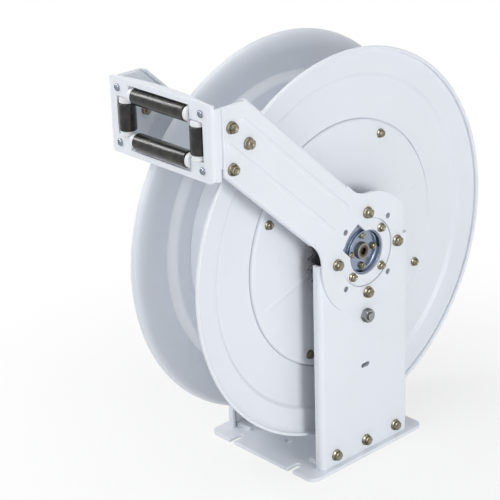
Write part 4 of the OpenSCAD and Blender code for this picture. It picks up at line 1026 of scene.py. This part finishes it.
FOOT_Y, FOOT_X = 24 * MM - AXLE_Z, (-66, 0, 66)
ARM_PLACES = ((-261 * MM, 261 * MM), (-231 * MM, 231 * MM), (-261 * MM, 202 * MM))


class REEL_OT_bolts(bpy.types.Operator):
    """Every flange bolt, on the frame and on the spool"""
    bl_idname = "reel.bolts"
    bl_label = "Flange bolts"

    def execute(self, context):
        sizes = context.scene.reel_sizes
        foot = [(x * MM, FOOT_Y, PED_OUT, x) for x in FOOT_X]
        arm = [(x, y, ARM_OUT, 31 * i) for i, (x, y) in enumerate(ARM_PLACES)]
        plate_out, cup_out = PED_OUT + 2.5 * MM, 99 * MM
        hubs = one_side(circle(*SPOOL_HUB_CIRCLE, 70 * MM))
        hubs += one_side(circle(*SPOOL_HUB_CIRCLE, 57.5 * MM), FAR)
        # name, places, size, shank length in mm, body
        rows = [
            ("foot_bolts", both_sides(foot), M8, 18.4, "frame"),
            ("hub_bolts", both_sides(circle(*HUB_CIRCLE, ARM_OUT)), M8, 15.9, "frame"),
            ("arm_bolts", both_sides(arm), M8, 16.4, "frame"),
            ("bearing_plate_bolts", both_sides(circle(*PLATE_CIRCLE, plate_out)), M6, 12, "frame"),
            ("bearing_cup_screws", both_sides(circle(*CUP_CIRCLE, cup_out)), M6_SMALL, 8, "frame"),
            ("cover_bolts", one_side(circle(*COVER_CIRCLE, 65 * MM)), M6, 16.5, "spool"),
            ("spool_hub_bolts", hubs, M8, 14.9, "spool"),
            ("ratchet_screws", one_side(circle(*RATCHET_CIRCLE, 88.5 * MM)), M6, 13, "spool"),
        ]
        for node, places, size, shank, body in rows:
            mesh = grown(node + "_made", once(bolt_tree), points_mesh(node, places), {
                "Cup Depth": sizes.bolt_cup, "Thread Pitch": sizes.thread_pitch, **size,
                "Shank Length": shank * MM, "Thread Length": 0.7 * shank * MM,
                "Finish": finish(yellow_zinc)}, 30)
            piece(node + "_made", mesh, body, [node])
        return {"FINISHED"}


class REEL_OT_nuts(bpy.types.Operator):
    """Every nut behind a bolt"""
    bl_idname = "reel.nuts"
    bl_label = "Nuts"

    def execute(self, context):
        back = PED_OUT - 5 * MM
        foot = [(x * MM, FOOT_Y, back - 5 * MM, x + 9) for x in FOOT_X]
        arm = [(x, y, PED_OUT - 4.02 * MM, 40 * x / (261 * MM)) for x, y in ARM_PLACES]
        # name, places, flange radius, key width and height in mm, body, replaced nodes
        rows = [
            ("foot_nuts", both_sides(foot), 8.9, 13, 6.4, "frame", ["foot_nuts"]),
            ("hub_nuts", both_sides(circle(*HUB_CIRCLE, back)), 8.9, 13, 6.4, "frame", ["hub_nuts"]),
            ("arm_nuts", both_sides(arm), 5, 13, 6.4, "frame", ["arm_nuts"]),
            ("bearing_nuts", both_sides(circle(*PLATE_CIRCLE, back - 2.5 * MM)), 4, 10, 3, "frame", []),
            ("cover_nuts", one_side(circle(*COVER_CIRCLE, 55.5 * MM)), 4, 10, 4.8, "spool", []),
        ]
        for name, places, flange, key, high, body, nodes in rows:
            mesh = grown(name + "_made", once(nut_tree), points_mesh(name, places), {
                "Key Width": key * MM, "Height": high * MM, "Flange Radius": flange * MM,
                "Finish": finish(yellow_zinc)}, 30)
            piece(name + "_made", mesh, body, nodes)
        return {"FINISHED"}


class REEL_OT_rivets(bpy.types.Operator):
    """Dome rivets of the guide head"""
    bl_idname = "reel.rivets"
    bl_label = "Rivets"

    def execute(self, context):
        places = [((HEAD_LOW.x, y * MM, HEAD_Z + z * MM), (-1, 0, 0), 0)
                  for y in (-86, 86) for z in (-40, 40)]
        mesh = grown("head_rivets_made", once(rivet_tree), points_mesh("rivets", places), {
            "Grip": 13.6 * MM, "Finish": finish(nickel)}, 50)
        piece("head_rivets_made", mesh, "frame", ["head_rivets"])
        return {"FINISHED"}


class REEL_OT_stage(bpy.types.Operator):
    """Floor, lamps, even air light and the camera"""
    bl_idname = "reel.stage"
    bl_label = "Stage"

    def execute(self, context):
        stage = context.scene.reel_stage
        self.floor(context)
        self.air(context, stage.air)
        centre = Vector((0, 0, 0.32))
        for name, place, width, height, power in (
                ("Key", (-0.2, -2.7, 0.75), 1.1, 1.0, stage.key_power),
                ("Fill", (-0.3, -0.2, 2.6), 2.2, 2.2, stage.fill_power),
                ("Rim", (-2.0, -0.1, 1.5), 0.9, 1.2, stage.rim_power),
                ("Back", (-1.2, 1.7, 1.9), 0.35, 1.2, stage.back_power)):
            lamp = bpy.data.lights.new(name, "AREA")
            lamp.shape, lamp.size, lamp.size_y, lamp.energy = "RECTANGLE", width, height, power
            made = bpy.data.objects.new(name, lamp)
            made.location = place
            made.rotation_euler = (centre - Vector(place)).to_track_quat("-Z", "Y").to_euler()
            context.scene.collection.objects.link(made)
        self.camera(context, stage.lens)
        context.scene.view_settings.view_transform = "Standard"
        return {"FINISHED"}

    def floor(self, context):
        """Pale matt floor that keeps the shadow and fades to white away from the reel."""
        mesh = bpy.data.meshes.new("floor")
        mesh.from_pydata([(-9, -9, 0), (9, -9, 0), (9, 9, 0), (-9, 9, 0)], [], [(0, 1, 2, 3)])
        made = bpy.data.objects.new("floor", mesh)
        context.scene.collection.objects.link(made)
        material = bpy.data.materials.new("pale_floor")
        material.use_nodes = True
        tree = material.node_tree
        tree.nodes.clear()
        matt = add(tree, "ShaderNodeBsdfDiffuse", links={"Color": context.scene.reel_colours.floor})
        white = add(tree, "ShaderNodeEmission", links={"Color": linear("FFFFFF"), "Strength": 1.0})
        where = add(tree, "ShaderNodeTexCoord")
        far = add(tree, "ShaderNodeVectorMath", {"operation": "LENGTH"}, {0: where.outputs["Object"]})
        fade = spread(tree, far.outputs["Value"], 0.72, 1.0, 0.2, 0.8, "SMOOTHSTEP")
        mixed = add(tree, "ShaderNodeMixShader", links={
            0: calc(tree, "MULTIPLY", fade, self.seen_rays(tree)), 1: matt.outputs[0],
            2: white.outputs[0]})
        add(tree, "ShaderNodeOutputMaterial", links={"Surface": mixed.outputs[0]})
        mesh.materials.append(material)

    def seen_rays(self, tree):
        """1 for camera, glossy and transmission rays, else 0."""
        path = add(tree, "ShaderNodeLightPath").outputs
        first = calc(tree, "MAXIMUM", path["Is Camera Ray"], path["Is Glossy Ray"])
        return calc(tree, "MAXIMUM", first, path["Is Transmission Ray"])

    def air(self, context, strength):
        """Even light from all round; the background itself shows white."""
        world = bpy.data.worlds.new("air")
        context.scene.world = world
        world.use_nodes = True
        tree = world.node_tree
        tree.nodes.clear()
        light = add(tree, "ShaderNodeBackground", links={
            "Color": linear("F1F3F5"), "Strength": strength})
        white = add(tree, "ShaderNodeBackground", links={"Color": linear("FFFFFF"), "Strength": 1.0})
        mixed = add(tree, "ShaderNodeMixShader", links={
            0: self.seen_rays(tree), 1: light.outputs[0], 2: white.outputs[0]})
        add(tree, "ShaderNodeOutputWorld", links={"Surface": mixed.outputs[0]})

    def camera(self, context, lens):
        yaw, pitch, roll = radians(42.604), radians(23.057), radians(-1.794)
        ahead = Vector((sin(yaw) * cos(pitch), cos(yaw) * cos(pitch), -sin(pitch)))
        level = Vector((cos(yaw), -sin(yaw), 0))
        top = level.cross(ahead)
        right = level * cos(roll) + top * sin(roll)
        up = -level * sin(roll) + top * cos(roll)
        turn = Matrix((right, up, -ahead)).transposed().to_4x4()
        lens_data = bpy.data.cameras.new("camera")
        lens_data.sensor_width, lens_data.lens = 36, lens
        made = bpy.data.objects.new("camera", lens_data)
        made.matrix_world = Matrix.Translation((-1.7089, -1.7145, 1.3435)) @ turn
        context.scene.collection.objects.link(made)
        context.scene.camera = made


class REEL_PT_panel(bpy.types.Panel):
    """Lists the steps that build the reel, and what they use"""
    bl_label = "Hose reel"
    bl_idname = "REEL_PT_panel"
    bl_space_type = "VIEW_3D"
    bl_region_type = "UI"
    bl_category = "Hose reel"

    def draw(self, context):
        for group in (context.scene.reel_sizes, context.scene.reel_colours, context.scene.reel_stage):
            box = self.layout.box()
            for name in group.bl_rna.properties.keys():
                if name not in ("rna_type", "name"):
                    box.prop(group, name)
        for step in STEPS:
            self.layout.operator(step.bl_idname)


GROUPS = {"reel_sizes": ReelSizes, "reel_colours": ReelColours, "reel_stage": ReelStage}
STEPS = (REEL_OT_stage, REEL_OT_base, REEL_OT_pedestals, REEL_OT_bearings, REEL_OT_axle,
         REEL_OT_guide_arms, REEL_OT_guide_head, REEL_OT_rollers, REEL_OT_discs, REEL_OT_drum,
         REEL_OT_spring_cover, REEL_OT_hubs, REEL_OT_ratchet, REEL_OT_springs,
         REEL_OT_water_way, REEL_OT_bolts, REEL_OT_nuts, REEL_OT_rivets)


def register():
    for group in GROUPS.values():
        bpy.utils.register_class(group)
    for name, group in GROUPS.items():
        setattr(bpy.types.Scene, name, bpy.props.PointerProperty(type=group))
    for step in STEPS + (REEL_PT_panel,):
        bpy.utils.register_class(step)


def unregister():
    for step in STEPS + (REEL_PT_panel,):
        bpy.utils.unregister_class(step)
    for name in GROUPS:
        delattr(bpy.types.Scene, name)
    for group in GROUPS.values():
        bpy.utils.unregister_class(group)


def main():
    register()
    for step in STEPS:
        group, name = step.bl_idname.split(".")
        getattr(getattr(bpy.ops, group), name)()


if __name__ == "__main__":
    main()
